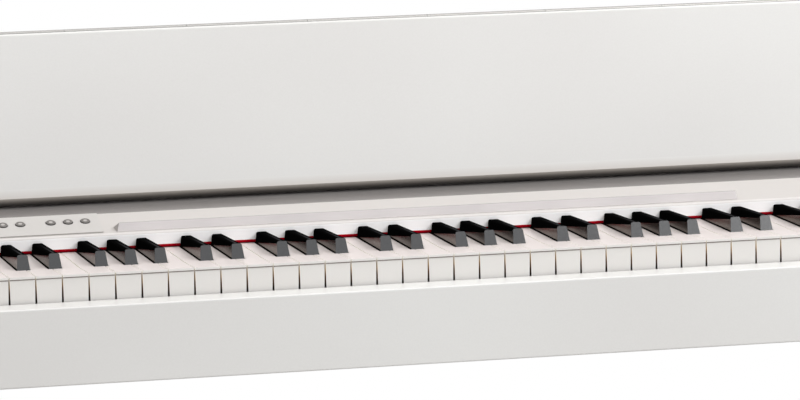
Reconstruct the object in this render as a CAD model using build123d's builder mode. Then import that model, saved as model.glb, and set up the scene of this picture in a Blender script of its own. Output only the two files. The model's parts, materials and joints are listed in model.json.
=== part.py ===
from build123d import *
import math
import os

# A slim digital piano on its stand: 88 keys, a folding lid that doubles as the music rest, three pedals.
# Frame: +X to the player's right, +Y to the rear, +Z up, origin on the floor under the centre of the
# feet.  Sizes are in millimetres.  At rest the lid is open and every key, button and pedal is up.

os.makedirs("parts", exist_ok=True)

# ---- Overall sizes ---------------------------------------------------------------------------------
foot_depth = 366.0
body_front_inset = 10.0        # body front behind the front ends of the feet
key_top_z = 735.0
body_drop = 91.0               # underside of the body below the key tops
arm_rise = 45.0                # top of the side panels above the key tops
running_gap = 0.3              # clearance beside a moving piece
shaft_gap = 0.05               # radial clearance of a pin in its bore

# ---- Boards of the body ----------------------------------------------------------------------------
side_thickness = 20.0
side_front_radius = 18.0
side_rear_radius = 5.0
rail_thickness = 28.0
rail_drop = 22.0               # rail top below the key tops
rail_edge_radius = 5.0
keybed_thickness = 15.0
rear_thickness = 12.0
deck_thickness = 10.0
deck_rise = 20.0               # deck top above the key tops
deck_lip_thickness = 3.0       # upstand along the deck's rear edge, behind the lid's foot
deck_lip_clearance = 1.0       # between the upstand and the corner of the turning lid
deck_lip_radius = 1.0
cheek_width = 47.5
cheek_gap = 1.5
cheek_rise = 27.0
cheek_radius = 12.0

# ---- Keys ------------------------------------------------------------------------------------------
key_pitch = 23.5
white_count = 52
key_gap = 1.0
key_front_gap = 2.0
key_exposed = 137.0            # white key length in front of the fascia
head_depth = 24.0
tail_depth = 14.0
key_front_rise = 1.7           # the tops rise towards the player, to be nearer level at half stroke
key_rise_setback = 106.0       # from the key front to where the tops become level
front_overhang = 1.2           # the top plate stands out this far over a white key's front
front_plate = 2.0
pivot_setback = 238.0          # key front to the pivot
pivot_drop = 7.0               # pivot below the key tops
key_heel = 8.0
neck_setback = 205.0
neck_inset = 1.0
key_travel = 10.0
pivot_radius = 2.0

sharp_width = 11.8
sharp_gap = 1.0
sharp_setback = 48.0
sharp_front_height = 13.0
sharp_rear_height = 10.0
sharp_front_lean = 5.5
sharp_side_lean = 1.4
sharp_rear_gap = 0.8
sharp_stem_drop = 0.5          # stem top below the white key tops
sharp_shift = {"A": 3.3, "C": -2.4, "D": 2.4, "F": -3.3, "G": 0.0}
white_letters = "ABCDEFG"
first_single = 23              # the octave from middle C has a node and a joint for each key
last_single = 29

# ---- Key chassis -----------------------------------------------------------------------------------
chassis_wall = 3.0
chassis_drop = 50.0            # underside of the chassis plate below the key tops
chassis_front_setback = 8.0
chassis_rear_setback = 254.0
chassis_rear_gap = 30.0        # room for the main board between the chassis and the rear panel
chassis_rear_top_drop = 1.0
chassis_rib_thickness = 2.0
chassis_rib_wall = 4.0         # stock of a rib in front of the pivot bore
chassis_rib_octave = 7         # white keys from one rib to the next
chassis_first_rib = 9          # white keys on the left of the first rib
stop_felt_front = 12.0
stop_felt_length = 20.0
stop_felt_thickness = 5.0
contact_front = 96.0
contact_length = 48.0
board_thickness = 1.6
contact_strip_length = 8.0
contact_strip_height = 4.0

# ---- Control panel ---------------------------------------------------------------------------------
felt_clearance = 0.5
felt_height = 2.7
panel_wall = 3.0
fascia_corner_rise = 14.6      # where the fascia and the slope would meet, above the key tops
fascia_radius = 3.5
slope_angle = 19.4
slope_run = 37.6
panel_land = 2.0
button_plate_thickness = 1.3
button_plate_inset = 112.0     # from the left end of the panel
button_plate_length = 259.5
button_plate_margin = 1.0       # from the fascia's rounding
button_plate_rear_margin = 0.2  # from the top of the slope
button_plate_radius = 1.5
button_radius = 4.5
button_height = 1.1
button_edge_radius = 1.0
button_travel = 1.0
button_line = 25.0             # distance of the buttons up the slope
button_end_inset = 13.4        # last button from the right end of the plate
button_pitch = 15.8
button_group_gap = 27.8        # between the two groups of three buttons
power_button_inset = 24.0      # from the left end of the plate
power_button_radius = 6.0
knob_inset = 86.0              # from the left end of the plate
knob_radius = 7.0
knob_mark_width = 1.0
knob_mark_depth = 0.6
knob_height = 3.0              # low enough for the closed lid
knob_shaft_radius = 3.0
knob_edge_radius = 0.8
flange_width = 1.1
flange_thickness = 1.0
panel_board_depth = 8.0        # panel board below the slope's outer face
panel_board_margin = 8.0
panel_board_end_margin = 4.0
switch_size = 5.0

# ---- Music ledge -----------------------------------------------------------------------------------
ledge_width = 587.0
ledge_gap = 12.0               # from the button plate to the ledge's left end
ledge_setback = 3.5            # ledge front behind the fascia
ledge_height = 8.6
ledge_depth = 9.0
ledge_end_taper = 1.9

# ---- Lid -------------------------------------------------------------------------------------------
lid_thickness = 13.0
lid_side_gap = 1.5
lid_lean = 7.0                 # open lid leans back this far from upright
rear_leaf_length = 158.6
front_leaf_length = 153.0
lid_foot_radius = 12.0
lid_edge_radius = 2.0
pivot_from_rear = 13.0         # lid pivot in front of the body's rear face
lid_pivot_rise = 36.5          # lid pivot above the key tops
lid_pivot_from_foot = 12.6
lid_pin_radius = 4.0
lid_pin_in_side = 13.0
lid_pin_in_leaf = 15.0
leaf_gap = 2.0                 # between the folded leaves
seam_gap = 1.0                 # between the leaves' edges when the lid is unfolded
seam_chamfer = 2.5
lip_drop = 16.0
lip_thickness = 12.0
hinge_barrel_radius = 2.0
hinge_pin_radius = 1.0
hinge_plate_thickness = 0.8
hinge_plate_width = 14.0
hinge_knuckles = 11
hinge_knuckle_gap = 0.4
hinge_end_margin = 20.0

# ---- Speakers and sockets --------------------------------------------------------------------------
speaker_inset = 190.0          # speaker centre from the inner face of the side panel
speaker_radius = 50.0
speaker_headroom = 3.0         # between the speaker's magnet and the key chassis
speaker_flange = 2.5
speaker_cone_radius = 42.0
speaker_magnet_radius = 26.0
speaker_magnet_height = 8.0
speaker_cone_depth = 11.0
grille_slots = 7
grille_pitch = 10.0
grille_slot_width = 4.0
main_board_width = 320.0
main_board_height = 60.0
main_board_post = 4.0
main_chip = 18.0
main_chip_height = 2.0
jack_box_width = 90.0
jack_box_depth = 60.0
jack_box_height = 30.0
jack_box_inset = 20.0          # from the inner face of the left side panel
jack_box_setback = 34.0
jack_box_radius = 4.0
jack_radius = 3.2
jack_length = 24.0
jack_pitch = 26.0
inlet_radius = 2.8
inlet_length = 12.0

# ---- Stand -----------------------------------------------------------------------------------------
foot_width = 55.0
foot_height = 30.0
foot_end_radius = 12.0
foot_edge_radius = 4.0
leg_thickness = 25.0
leg_front_inset = 53.0         # from the front of the body
leg_rear_inset = 3.0           # from the rear of the body
leg_edge_radius = 6.0
back_board_thickness = 15.0
back_board_height = 340.0
back_board_drop = 124.0        # top of the back board below the body
back_board_rear_inset = 25.0   # from the rear of the legs
pedal_box_depth = 80.0
pedal_box_rear_inset = 35.0    # from the rear of the legs
pedal_box_bottom_z = 45.0
pedal_box_height = 70.0
pedal_box_wall = 10.0
pedal_box_edge_radius = 4.0
pedal_bay_width = 280.0
pedal_pitch = 70.0
pedal_thickness = 7.0
pedal_heel_width = 14.0
pedal_toe_width = 24.0
pedal_reach = 80.0             # toe in front of the pedal box
pedal_pivot_setback = 55.0     # pedal pivot behind the front of the pedal box
pedal_rod_radius = 4.0
pedal_boss_radius = 8.0
pedal_travel = 16.0
pedal_edge_radius = 1.5
adjuster_disc_radius = 17.0
adjuster_disc_height = 6.0
adjuster_edge_radius = 1.2
adjuster_stem_radius = 5.0
adjuster_stem_stand = 4.0      # stem inside the pedal box when the foot is on the floor
board_bolt_inset = 50.0
box_bolt_inset = 18.0
bolt_radius = 3.0
bolt_head_radius = 7.0
bolt_head_height = 4.0
bolt_length = 50.0
bolt_drive_depth = 2.2
bolt_drive_size = 2.5

# ---- Places worked out from the sizes --------------------------------------------------------------
foot_front_y = -foot_depth / 2
body_front_y = foot_front_y + body_front_inset
body_bottom_z = key_top_z - body_drop
arm_top_z = key_top_z + arm_rise
keyboard_left = -key_pitch * white_count / 2
cheek_inner_x = -keyboard_left + cheek_gap
inner_half = cheek_inner_x + cheek_width
outer_half = inner_half + side_thickness
rail_rear_y = body_front_y + rail_thickness
key_front_y = rail_rear_y + key_front_gap
fascia_y = key_front_y + key_exposed
pivot_y = key_front_y + pivot_setback
pivot_z = key_top_z - pivot_drop
keybed_top_z = body_bottom_z + keybed_thickness
rear_panel_front_y = key_front_y + chassis_rear_setback + chassis_rear_gap
body_rear_y = rear_panel_front_y + rear_thickness
body_depth = body_rear_y - body_front_y
deck_top_z = key_top_z + deck_rise
deck_bottom_z = deck_top_z - deck_thickness
panel_depth = slope_run + panel_land
panel_rear_y = fascia_y + panel_depth
fascia_bottom_z = key_top_z + felt_clearance + felt_height
fascia_corner_z = key_top_z + fascia_corner_rise
slope_sine = math.sin(math.radians(slope_angle))
slope_cosine = math.cos(math.radians(slope_angle))
slope_tangent = slope_sine / slope_cosine
slope_plane = Plane(
    origin=(0, fascia_y, fascia_corner_z), x_dir=(1, 0, 0), z_dir=(0, -slope_sine, slope_cosine)
)
slope_length = slope_run / slope_cosine
fascia_tangent = fascia_radius * math.tan(math.radians((90 - slope_angle) / 2))
lid_pivot_y = body_rear_y - pivot_from_rear
lid_pivot_z = key_top_z + lid_pivot_rise
lid_sweep = math.hypot(lid_pivot_from_foot, lid_thickness / 2) + deck_lip_clearance
deck_lip_top_z = lid_pivot_z - math.sqrt(lid_sweep**2 - (pivot_from_rear - deck_lip_thickness) ** 2)


# ---- Keys ------------------------------------------------------------------------------------------
def boundary_x(index):
    """X of the boundary on the left of white key number index, counted from the left end."""
    return keyboard_left + index * key_pitch


def has_sharp(index):
    """Whether a black key stands between white keys index and index + 1."""
    inside = 0 <= index < white_count - 1
    return inside and white_letters[index % 7] in sharp_shift


def sharp_centre_x(index):
    """X of the middle of the black key on the right of white key number index."""
    return boundary_x(index + 1) + sharp_shift[white_letters[index % 7]]


def note_name(index):
    """Letter and octave of a white key, such as c4."""
    return f"{white_letters[index % 7].lower()}{(index + 5) // 7}"


def sharp_name(index):
    """Letter and octave of the black key on the right of a white key, such as c_sharp4."""
    return f"{white_letters[index % 7].lower()}_sharp{(index + 5) // 7}"


def make_white_key(index):
    """One white key: a head of full width, a tail notched for its black keys, and a bored heel."""
    left = boundary_x(index) + key_gap / 2
    right = boundary_x(index + 1) - key_gap / 2
    notch = sharp_width / 2 + sharp_gap
    tail_left = sharp_centre_x(index - 1) + notch if has_sharp(index - 1) else left
    tail_right = sharp_centre_x(index) - notch if has_sharp(index) else right
    notch_y = key_front_y + sharp_setback - sharp_gap
    neck_y = key_front_y + neck_setback
    heel_y = pivot_y + key_heel
    front_top_z = key_top_z + key_front_rise
    with BuildPart() as key:
        with BuildSketch(Plane.XY.offset(front_top_z)):
            with Locations(((left + right) / 2, (key_front_y + notch_y) / 2)):
                Rectangle(right - left, notch_y - key_front_y)
            with Locations(((tail_left + tail_right) / 2, (notch_y + neck_y) / 2)):
                Rectangle(tail_right - tail_left, neck_y - notch_y)
            with Locations(((tail_left + tail_right) / 2, (neck_y + heel_y) / 2)):
                Rectangle(tail_right - tail_left - 2 * neck_inset, heel_y - neck_y)
        extrude(amount=-(key_front_rise + tail_depth))
        with BuildSketch(Plane.YZ.offset((left + right) / 2)):
            with BuildLine():
                Polyline(
                    (key_front_y, front_top_z),
                    (key_front_y + key_rise_setback, key_top_z),
                    (heel_y, key_top_z),
                    (heel_y, front_top_z),
                    close=True,
                )
            make_face()
        extrude(amount=key_pitch, both=True, mode=Mode.SUBTRACT)
        with BuildSketch(Plane.XY.offset(key_top_z - tail_depth)):
            with Locations(((left + right) / 2, (key_front_y + notch_y) / 2)):
                Rectangle(right - left, notch_y - key_front_y)
        extrude(amount=-(head_depth - tail_depth))
        with BuildSketch(Plane.XY.offset(front_top_z - front_plate)):
            with Locations(((left + right) / 2, key_front_y)):
                Rectangle(right - left, 2 * front_overhang)
        extrude(amount=-head_depth, mode=Mode.SUBTRACT)
        with BuildSketch(Plane.YZ.offset((left + right) / 2)):
            with Locations((pivot_y, pivot_z)):
                Circle(pivot_radius + shaft_gap)
        extrude(amount=key_pitch, both=True, mode=Mode.SUBTRACT)
    return key.part


def make_sharp(index):
    """The black key on the right of a white key: a tapered cap on a stem that runs to the pivot."""
    centre = sharp_centre_x(index)
    half = sharp_width / 2
    front_y = key_front_y + sharp_setback
    cap_rear_y = fascia_y - sharp_rear_gap
    heel_y = pivot_y + key_heel
    bottom_z = key_top_z - tail_depth
    side_slope = sharp_side_lean / sharp_front_height
    wedge = 2 * sharp_front_height
    with BuildPart() as key:
        with BuildSketch(Plane.YZ.offset(centre - half)):
            with BuildLine():
                Polyline(
                    (front_y, bottom_z),
                    (front_y, key_top_z),
                    (front_y + sharp_front_lean, key_top_z + sharp_front_height),
                    (cap_rear_y, key_top_z + sharp_rear_height),
                    (cap_rear_y, key_top_z - sharp_stem_drop),
                    (heel_y, key_top_z - sharp_stem_drop),
                    (heel_y, bottom_z),
                    close=True,
                )
            make_face()
        extrude(amount=sharp_width)
        with BuildSketch(Plane.XZ.offset(-(front_y + cap_rear_y) / 2)):
            for side in (-1, 1):
                with BuildLine():
                    Polyline(
                        (centre + side * half, key_top_z),
                        (centre + side * half, key_top_z + wedge),
                        (centre + side * (half - side_slope * wedge), key_top_z + wedge),
                        close=True,
                    )
                make_face()
        extrude(amount=cap_rear_y - front_y, both=True, mode=Mode.SUBTRACT)
        with BuildSketch(Plane.YZ.offset(centre)):
            with Locations((pivot_y, pivot_z)):
                Circle(pivot_radius + shaft_gap)
        extrude(amount=key_pitch, both=True, mode=Mode.SUBTRACT)
    return key.part


whites = [make_white_key(index) for index in range(white_count)]
sharps = {index: make_sharp(index) for index in range(white_count) if has_sharp(index)}

for index in range(first_single, last_single + 1):
    whites[index].label = f"white_key_{note_name(index)}"
    export_step(whites[index], f"parts/white_key_{note_name(index)}.step")
    if index in sharps:
        sharps[index].label = f"black_key_{sharp_name(index)}"
        export_step(sharps[index], f"parts/black_key_{sharp_name(index)}.step")

with BuildPart() as white_keys_low:
    add(whites[:first_single])
white_keys_low.part.label = "white_keys_low"
export_step(white_keys_low.part, "parts/white_keys_low.step")

with BuildPart() as white_keys_high:
    add(whites[last_single + 1:])
white_keys_high.part.label = "white_keys_high"
export_step(white_keys_high.part, "parts/white_keys_high.step")

with BuildPart() as black_keys_low:
    add([sharp for index, sharp in sharps.items() if index < first_single])
black_keys_low.part.label = "black_keys_low"
export_step(black_keys_low.part, "parts/black_keys_low.step")

with BuildPart() as black_keys_high:
    add([sharp for index, sharp in sharps.items() if index > last_single])
black_keys_high.part.label = "black_keys_high"
export_step(black_keys_high.part, "parts/black_keys_high.step")

# ---- Key chassis, pivot rod, stop felt, contact board ----------------------------------------------
key_angle = math.asin(key_travel / pivot_setback)
chassis_half = -keyboard_left + cheek_gap / 2
chassis_bottom_z = key_top_z - chassis_drop
chassis_plate_top_z = chassis_bottom_z + chassis_wall
chassis_front_y = key_front_y + chassis_front_setback
chassis_rear_y = key_front_y + chassis_rear_setback


def pressed_z(setback, drop):
    """Height of a point of a key when the key is down, from its setback and its drop at rest."""
    arm = setback - pivot_setback
    rise = pivot_drop - drop
    return pivot_z + arm * math.sin(key_angle) + rise * math.cos(key_angle)


stop_felt_top_z = pressed_z(stop_felt_front, head_depth) - running_gap
stop_shelf_z = stop_felt_top_z - stop_felt_thickness
contact_strip_top_z = pressed_z(contact_front, tail_depth) - running_gap
contact_shelf_z = contact_strip_top_z - contact_strip_height - board_thickness
rib_positions = [boundary_x(index) for index in range(chassis_first_rib, white_count - 2, chassis_rib_octave)]
rib_positions += [side * (chassis_half - chassis_rib_thickness / 2) for side in (-1, 1)]

with BuildPart() as key_chassis:
    with BuildSketch(Plane.YZ.offset(-chassis_half)):
        with BuildLine():
            Polyline(
                (chassis_front_y, keybed_top_z),
                (chassis_front_y, chassis_plate_top_z),
                (key_front_y + stop_felt_front, chassis_plate_top_z),
                (key_front_y + stop_felt_front, stop_shelf_z),
                (key_front_y + stop_felt_front + stop_felt_length, stop_shelf_z),
                (key_front_y + stop_felt_front + stop_felt_length, chassis_plate_top_z),
                (chassis_rear_y - chassis_wall, chassis_plate_top_z),
                (chassis_rear_y - chassis_wall, key_top_z - chassis_rear_top_drop),
                (chassis_rear_y, key_top_z - chassis_rear_top_drop),
                (chassis_rear_y, keybed_top_z),
                (chassis_rear_y - chassis_wall, keybed_top_z),
                (chassis_rear_y - chassis_wall, chassis_bottom_z),
                (chassis_front_y + chassis_wall, chassis_bottom_z),
                (chassis_front_y + chassis_wall, keybed_top_z),
                close=True,
            )
        make_face()
        for setback in (contact_front, contact_front + contact_length - chassis_wall):
            web_y = key_front_y + setback + chassis_wall / 2
            with Locations((web_y, (chassis_bottom_z + contact_shelf_z) / 2)):
                Rectangle(chassis_wall, contact_shelf_z - chassis_bottom_z)
    extrude(amount=2 * chassis_half)
    rib_rear_y = chassis_rear_y - chassis_wall / 2
    rib_front_y = pivot_y - pivot_radius - chassis_rib_wall
    rib_top_z = key_top_z - chassis_rear_top_drop
    for rib_x in rib_positions:
        with BuildSketch(Plane.YZ.offset(rib_x)):
            with Locations(((rib_front_y + rib_rear_y) / 2, (chassis_bottom_z + rib_top_z) / 2)):
                Rectangle(rib_rear_y - rib_front_y, rib_top_z - chassis_bottom_z)
        extrude(amount=chassis_rib_thickness / 2, both=True)
    with BuildSketch(Plane.YZ):
        with Locations((pivot_y, pivot_z)):
            Circle(pivot_radius + shaft_gap)
    extrude(amount=chassis_half, both=True, mode=Mode.SUBTRACT)
key_chassis.part.label = "key_chassis"
export_step(key_chassis.part, "parts/key_chassis.step")

with BuildPart() as key_pivot_rod:
    with BuildSketch(Plane.YZ.offset(-chassis_half)):
        with Locations((pivot_y, pivot_z)):
            Circle(pivot_radius)
    extrude(amount=2 * chassis_half)
key_pivot_rod.part.label = "key_pivot_rod"
export_step(key_pivot_rod.part, "parts/key_pivot_rod.step")

with BuildPart() as key_stop_felt:
    with BuildSketch(Plane.XY.offset(stop_shelf_z)):
        with Locations((0, key_front_y + stop_felt_front + stop_felt_length / 2)):
            Rectangle(2 * chassis_half, stop_felt_length)
    extrude(amount=stop_felt_thickness)
key_stop_felt.part.label = "key_stop_felt"
export_step(key_stop_felt.part, "parts/key_stop_felt.step")

with BuildPart() as contact_board:
    with BuildSketch(Plane.XY.offset(contact_shelf_z)):
        with Locations((0, key_front_y + contact_front + contact_length / 2)):
            Rectangle(2 * chassis_half, contact_length)
    extrude(amount=board_thickness)
    with BuildSketch(Plane.XY.offset(contact_shelf_z + board_thickness)):
        with Locations((0, key_front_y + contact_front + contact_length / 2)):
            Rectangle(2 * chassis_half, contact_strip_length)
    extrude(amount=contact_strip_height)
contact_board.part.label = "contact_board"
export_step(contact_board.part, "parts/contact_board.step")

with BuildPart() as red_felt_strip:
    with BuildSketch(Plane.XY.offset(fascia_bottom_z)):
        with Locations((0, fascia_y + panel_wall / 2)):
            Rectangle(2 * cheek_inner_x, panel_wall)
    extrude(amount=-felt_height)
red_felt_strip.part.label = "red_felt_strip"
export_step(red_felt_strip.part, "parts/red_felt_strip.step")

# ---- Body ------------------------------------------------------------------------------------------
speaker_x = inner_half - speaker_inset
speaker_y = (rail_rear_y + rear_panel_front_y) / 2

with BuildPart() as keybed:
    with BuildSketch(Plane.XY.offset(body_bottom_z)):
        with Locations((0, (rail_rear_y + rear_panel_front_y) / 2)):
            Rectangle(2 * inner_half, rear_panel_front_y - rail_rear_y)
    extrude(amount=keybed_thickness)
    with BuildSketch(Plane.XY.offset(body_bottom_z)):
        for side in (-1, 1):
            for row in range(grille_slots):
                offset_y = (row - (grille_slots - 1) / 2) * grille_pitch
                reach = math.sqrt(speaker_cone_radius**2 - offset_y**2) - grille_slot_width
                with Locations((side * speaker_x, speaker_y + offset_y)):
                    SlotOverall(2 * reach, grille_slot_width)
    extrude(amount=keybed_thickness, mode=Mode.SUBTRACT)
keybed.part.label = "keybed"
export_step(keybed.part, "parts/keybed.step")

with BuildPart() as front_rail:
    with BuildSketch(Plane.XY.offset(body_bottom_z)):
        with Locations((0, (body_front_y + rail_rear_y) / 2)):
            Rectangle(2 * inner_half, rail_thickness)
    extrude(amount=key_top_z - rail_drop - body_bottom_z)
    rail_front = front_rail.faces().sort_by(Axis.Y)[0]
    fillet(rail_front.edges().filter_by(Axis.X), radius=rail_edge_radius)
front_rail.part.label = "front_rail"
export_step(front_rail.part, "parts/front_rail.step")

for side, side_name in ((-1, "left"), (1, "right")):
    with BuildPart() as side_panel:
        with BuildSketch(Plane.YZ.offset(side * inner_half)):
            with Locations(((body_front_y + body_rear_y) / 2, (body_bottom_z + arm_top_z) / 2)):
                Rectangle(body_depth, arm_top_z - body_bottom_z)
        extrude(amount=side * side_thickness)
        upper_edges = side_panel.faces().sort_by(Axis.Z)[-1].edges().filter_by(Axis.X).sort_by(Axis.Y)
        fillet(upper_edges[0], radius=side_front_radius)
        fillet(side_panel.faces().sort_by(Axis.Z)[-1].edges().filter_by(Axis.X).sort_by(Axis.Y)[-1],
               radius=side_rear_radius)
        with BuildSketch(Plane.YZ.offset(side * inner_half)):
            with Locations((lid_pivot_y, lid_pivot_z)):
                Circle(lid_pin_radius + shaft_gap)
        extrude(amount=side * lid_pin_in_side, mode=Mode.SUBTRACT)
    side_panel.part.label = f"side_panel_{side_name}"
    export_step(side_panel.part, f"parts/side_panel_{side_name}.step")

with BuildPart() as cheek_blocks:
    for side in (-1, 1):
        with BuildSketch(Plane.YZ.offset(side * cheek_inner_x)):
            with Locations(((rail_rear_y + fascia_y) / 2, (keybed_top_z + key_top_z + cheek_rise) / 2)):
                Rectangle(fascia_y - rail_rear_y, key_top_z + cheek_rise - keybed_top_z)
        extrude(amount=side * cheek_width)
    cheek_tops = cheek_blocks.faces().group_by(Axis.Z)[-1]
    fillet([top.edges().filter_by(Axis.X).sort_by(Axis.Y)[0] for top in cheek_tops], radius=cheek_radius)
cheek_blocks.part.label = "cheek_blocks"
export_step(cheek_blocks.part, "parts/cheek_blocks.step")

with BuildPart() as rear_panel:
    with BuildSketch(Plane.XY.offset(body_bottom_z)):
        with Locations((0, (rear_panel_front_y + body_rear_y) / 2)):
            Rectangle(2 * inner_half, rear_thickness)
    extrude(amount=deck_bottom_z - body_bottom_z)
rear_panel.part.label = "rear_panel"
export_step(rear_panel.part, "parts/rear_panel.step")

with BuildPart() as rear_deck:
    with BuildSketch(Plane.XY.offset(deck_bottom_z)):
        with Locations((0, (panel_rear_y + body_rear_y) / 2)):
            Rectangle(2 * inner_half, body_rear_y - panel_rear_y)
    extrude(amount=deck_thickness)
    with BuildSketch(Plane.XY.offset(deck_top_z)):
        with Locations((0, body_rear_y - deck_lip_thickness / 2)):
            Rectangle(2 * inner_half, deck_lip_thickness)
    extrude(amount=deck_lip_top_z - deck_top_z)
    lip_top = rear_deck.faces().sort_by(Axis.Z)[-1]
    fillet(lip_top.edges().filter_by(Axis.X), radius=deck_lip_radius)
rear_deck.part.label = "rear_deck"
export_step(rear_deck.part, "parts/rear_deck.step")

# ---- Control panel ---------------------------------------------------------------------------------
inner_rear_y = panel_rear_y - panel_wall
inner_front_z = fascia_corner_z + panel_wall * slope_tangent - panel_wall / slope_cosine
inner_rear_z = fascia_corner_z + (panel_depth - panel_wall) * slope_tangent - panel_wall / slope_cosine
land_z = fascia_corner_z + slope_run * slope_tangent
plate_left = button_plate_inset - inner_half
plate_right = plate_left + button_plate_length
plate_low = fascia_tangent + button_plate_margin
plate_high = slope_length - button_plate_rear_margin
power_button_x = plate_left + power_button_inset
knob_x = plate_left + knob_inset
button_hole_radius = button_radius + running_gap
power_hole_radius = power_button_radius + running_gap
knob_hole_radius = knob_shaft_radius + running_gap
hole_depth = 2 * (panel_wall + button_plate_thickness)
button_columns = {}
for number in (3, 2, 1):
    button_columns[f"function_button_{number}"] = plate_right - button_end_inset - (3 - number) * button_pitch
for number in (3, 2, 1):
    group_x = button_columns["function_button_1"] - button_group_gap
    button_columns[f"tone_button_{number}"] = group_x - (3 - number) * button_pitch

with BuildPart() as control_panel:
    with BuildSketch(Plane.YZ.offset(-inner_half)):
        with BuildLine():
            Polyline(
                (fascia_y, fascia_bottom_z),
                (fascia_y, fascia_corner_z),
                (fascia_y + slope_run, land_z),
                (panel_rear_y, land_z),
                (panel_rear_y, fascia_bottom_z),
                (inner_rear_y, fascia_bottom_z),
                (inner_rear_y, inner_rear_z),
                (fascia_y + panel_wall, inner_front_z),
                (fascia_y + panel_wall, fascia_bottom_z),
                close=True,
            )
        make_face()
    extrude(amount=2 * inner_half)
    front_edges = control_panel.edges().filter_by(Axis.X).group_by(Axis.Y)[0]
    fillet(front_edges.sort_by(Axis.Z)[-1], radius=fascia_radius)
    with BuildSketch(slope_plane):
        with Locations([(x, button_line) for x in button_columns.values()]):
            Circle(button_hole_radius)
        with Locations((power_button_x, button_line)):
            Circle(power_hole_radius)
        with Locations((knob_x, button_line)):
            Circle(knob_hole_radius)
    extrude(amount=-hole_depth, mode=Mode.SUBTRACT)
control_panel.part.label = "control_panel"
export_step(control_panel.part, "parts/control_panel.step")

with BuildPart() as button_plate:
    with BuildSketch(slope_plane):
        with Locations(((plate_left + plate_right) / 2, (plate_low + plate_high) / 2)):
            RectangleRounded(button_plate_length, plate_high - plate_low, button_plate_radius)
        with Locations([(x, button_line) for x in button_columns.values()]):
            Circle(button_hole_radius, mode=Mode.SUBTRACT)
        with Locations((power_button_x, button_line)):
            Circle(power_hole_radius, mode=Mode.SUBTRACT)
        with Locations((knob_x, button_line)):
            Circle(knob_hole_radius, mode=Mode.SUBTRACT)
    extrude(amount=button_plate_thickness)
button_plate.part.label = "button_plate"
export_step(button_plate.part, "parts/button_plate.step")


def make_button(x, radius):
    """A round button: a domed cap that stands out of the plate, with a flange behind the panel."""
    flange_top = -panel_wall - running_gap
    with BuildPart() as button:
        with BuildSketch(slope_plane.offset(flange_top - flange_thickness)):
            with Locations((x, button_line)):
                Circle(radius + flange_width)
        extrude(amount=flange_thickness)
        with BuildSketch(slope_plane.offset(flange_top)):
            with Locations((x, button_line)):
                Circle(radius)
        extrude(amount=button_plate_thickness + button_height - flange_top)
        fillet(button.edges().sort_by(Axis.Z)[-1], radius=button_edge_radius)
    return button.part


for button_name, button_x in button_columns.items():
    button = make_button(button_x, button_radius)
    button.label = button_name
    export_step(button, f"parts/{button_name}.step")

power_button = make_button(power_button_x, power_button_radius)
power_button.label = "power_button"
export_step(power_button, "parts/power_button.step")

with BuildPart() as volume_knob:
    knob_foot = button_plate_thickness + running_gap
    with BuildSketch(slope_plane.offset(-panel_board_depth + running_gap)):
        with Locations((knob_x, button_line)):
            Circle(knob_shaft_radius)
    extrude(amount=panel_board_depth - running_gap + knob_foot)
    with BuildSketch(slope_plane.offset(knob_foot)):
        with Locations((knob_x, button_line)):
            Circle(knob_radius)
    extrude(amount=knob_height)
    fillet(volume_knob.edges().sort_by(Axis.Z)[-1], radius=knob_edge_radius)
    with BuildSketch(slope_plane.offset(knob_foot + knob_height)):
        with Locations((knob_x, button_line + knob_radius / 2)):
            Rectangle(knob_mark_width, knob_radius)
    extrude(amount=-knob_mark_depth, mode=Mode.SUBTRACT)
volume_knob.part.label = "volume_knob"
export_step(volume_knob.part, "parts/volume_knob.step")

with BuildPart() as panel_board:
    board_centre_x = (plate_left + plate_right) / 2
    board_width = button_plate_length - 2 * panel_board_end_margin
    board_length = slope_length - 2 * panel_board_margin
    flange_bottom = panel_wall + running_gap + flange_thickness
    switch_height = panel_board_depth - flange_bottom - button_travel - running_gap
    with BuildSketch(slope_plane.offset(-panel_board_depth)):
        with Locations((board_centre_x, slope_length / 2)):
            Rectangle(board_width, board_length)
    extrude(amount=-board_thickness)
    with BuildSketch(slope_plane.offset(-panel_board_depth)):
        with Locations([(x, button_line) for x in (*button_columns.values(), power_button_x)]):
            Rectangle(switch_size, switch_size)
    extrude(amount=switch_height)
    with BuildSketch(slope_plane.offset(-panel_board_depth)):
        with Locations((board_centre_x, slope_length / 2)):
            with GridLocations(board_width - switch_size, board_length - switch_size, 2, 2):
                Circle(switch_size / 2)
    extrude(amount=panel_board_depth - panel_wall)
panel_board.part.label = "panel_board"
export_step(panel_board.part, "parts/panel_board.step")

ledge_centre_x = plate_right + ledge_gap + ledge_width / 2

with BuildPart() as music_ledge:
    ledge_front_y = fascia_y + ledge_setback
    ledge_rear_y = ledge_front_y + ledge_depth
    ledge_front_z = fascia_corner_z + ledge_setback * slope_tangent
    ledge_rear_z = fascia_corner_z + (ledge_setback + ledge_depth) * slope_tangent
    with BuildSketch(Plane.YZ.offset(ledge_centre_x - ledge_width / 2)):
        with BuildLine():
            Polyline(
                (ledge_front_y, ledge_front_z),
                (ledge_front_y, ledge_front_z + ledge_height),
                (ledge_rear_y, ledge_rear_z),
                close=True,
            )
        make_face()
    extrude(amount=ledge_width)
    with BuildSketch(Plane.XZ.offset(-ledge_front_y)):
        for side in (-1, 1):
            end_x = ledge_centre_x + side * ledge_width / 2
            with BuildLine():
                Polyline(
                    (end_x, ledge_front_z),
                    (end_x - side * ledge_end_taper, ledge_front_z + ledge_height),
                    (end_x, ledge_front_z + ledge_height),
                    close=True,
                )
            make_face()
    extrude(amount=-ledge_depth, mode=Mode.SUBTRACT)
music_ledge.part.label = "music_ledge"
export_step(music_ledge.part, "parts/music_ledge.step")

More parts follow.
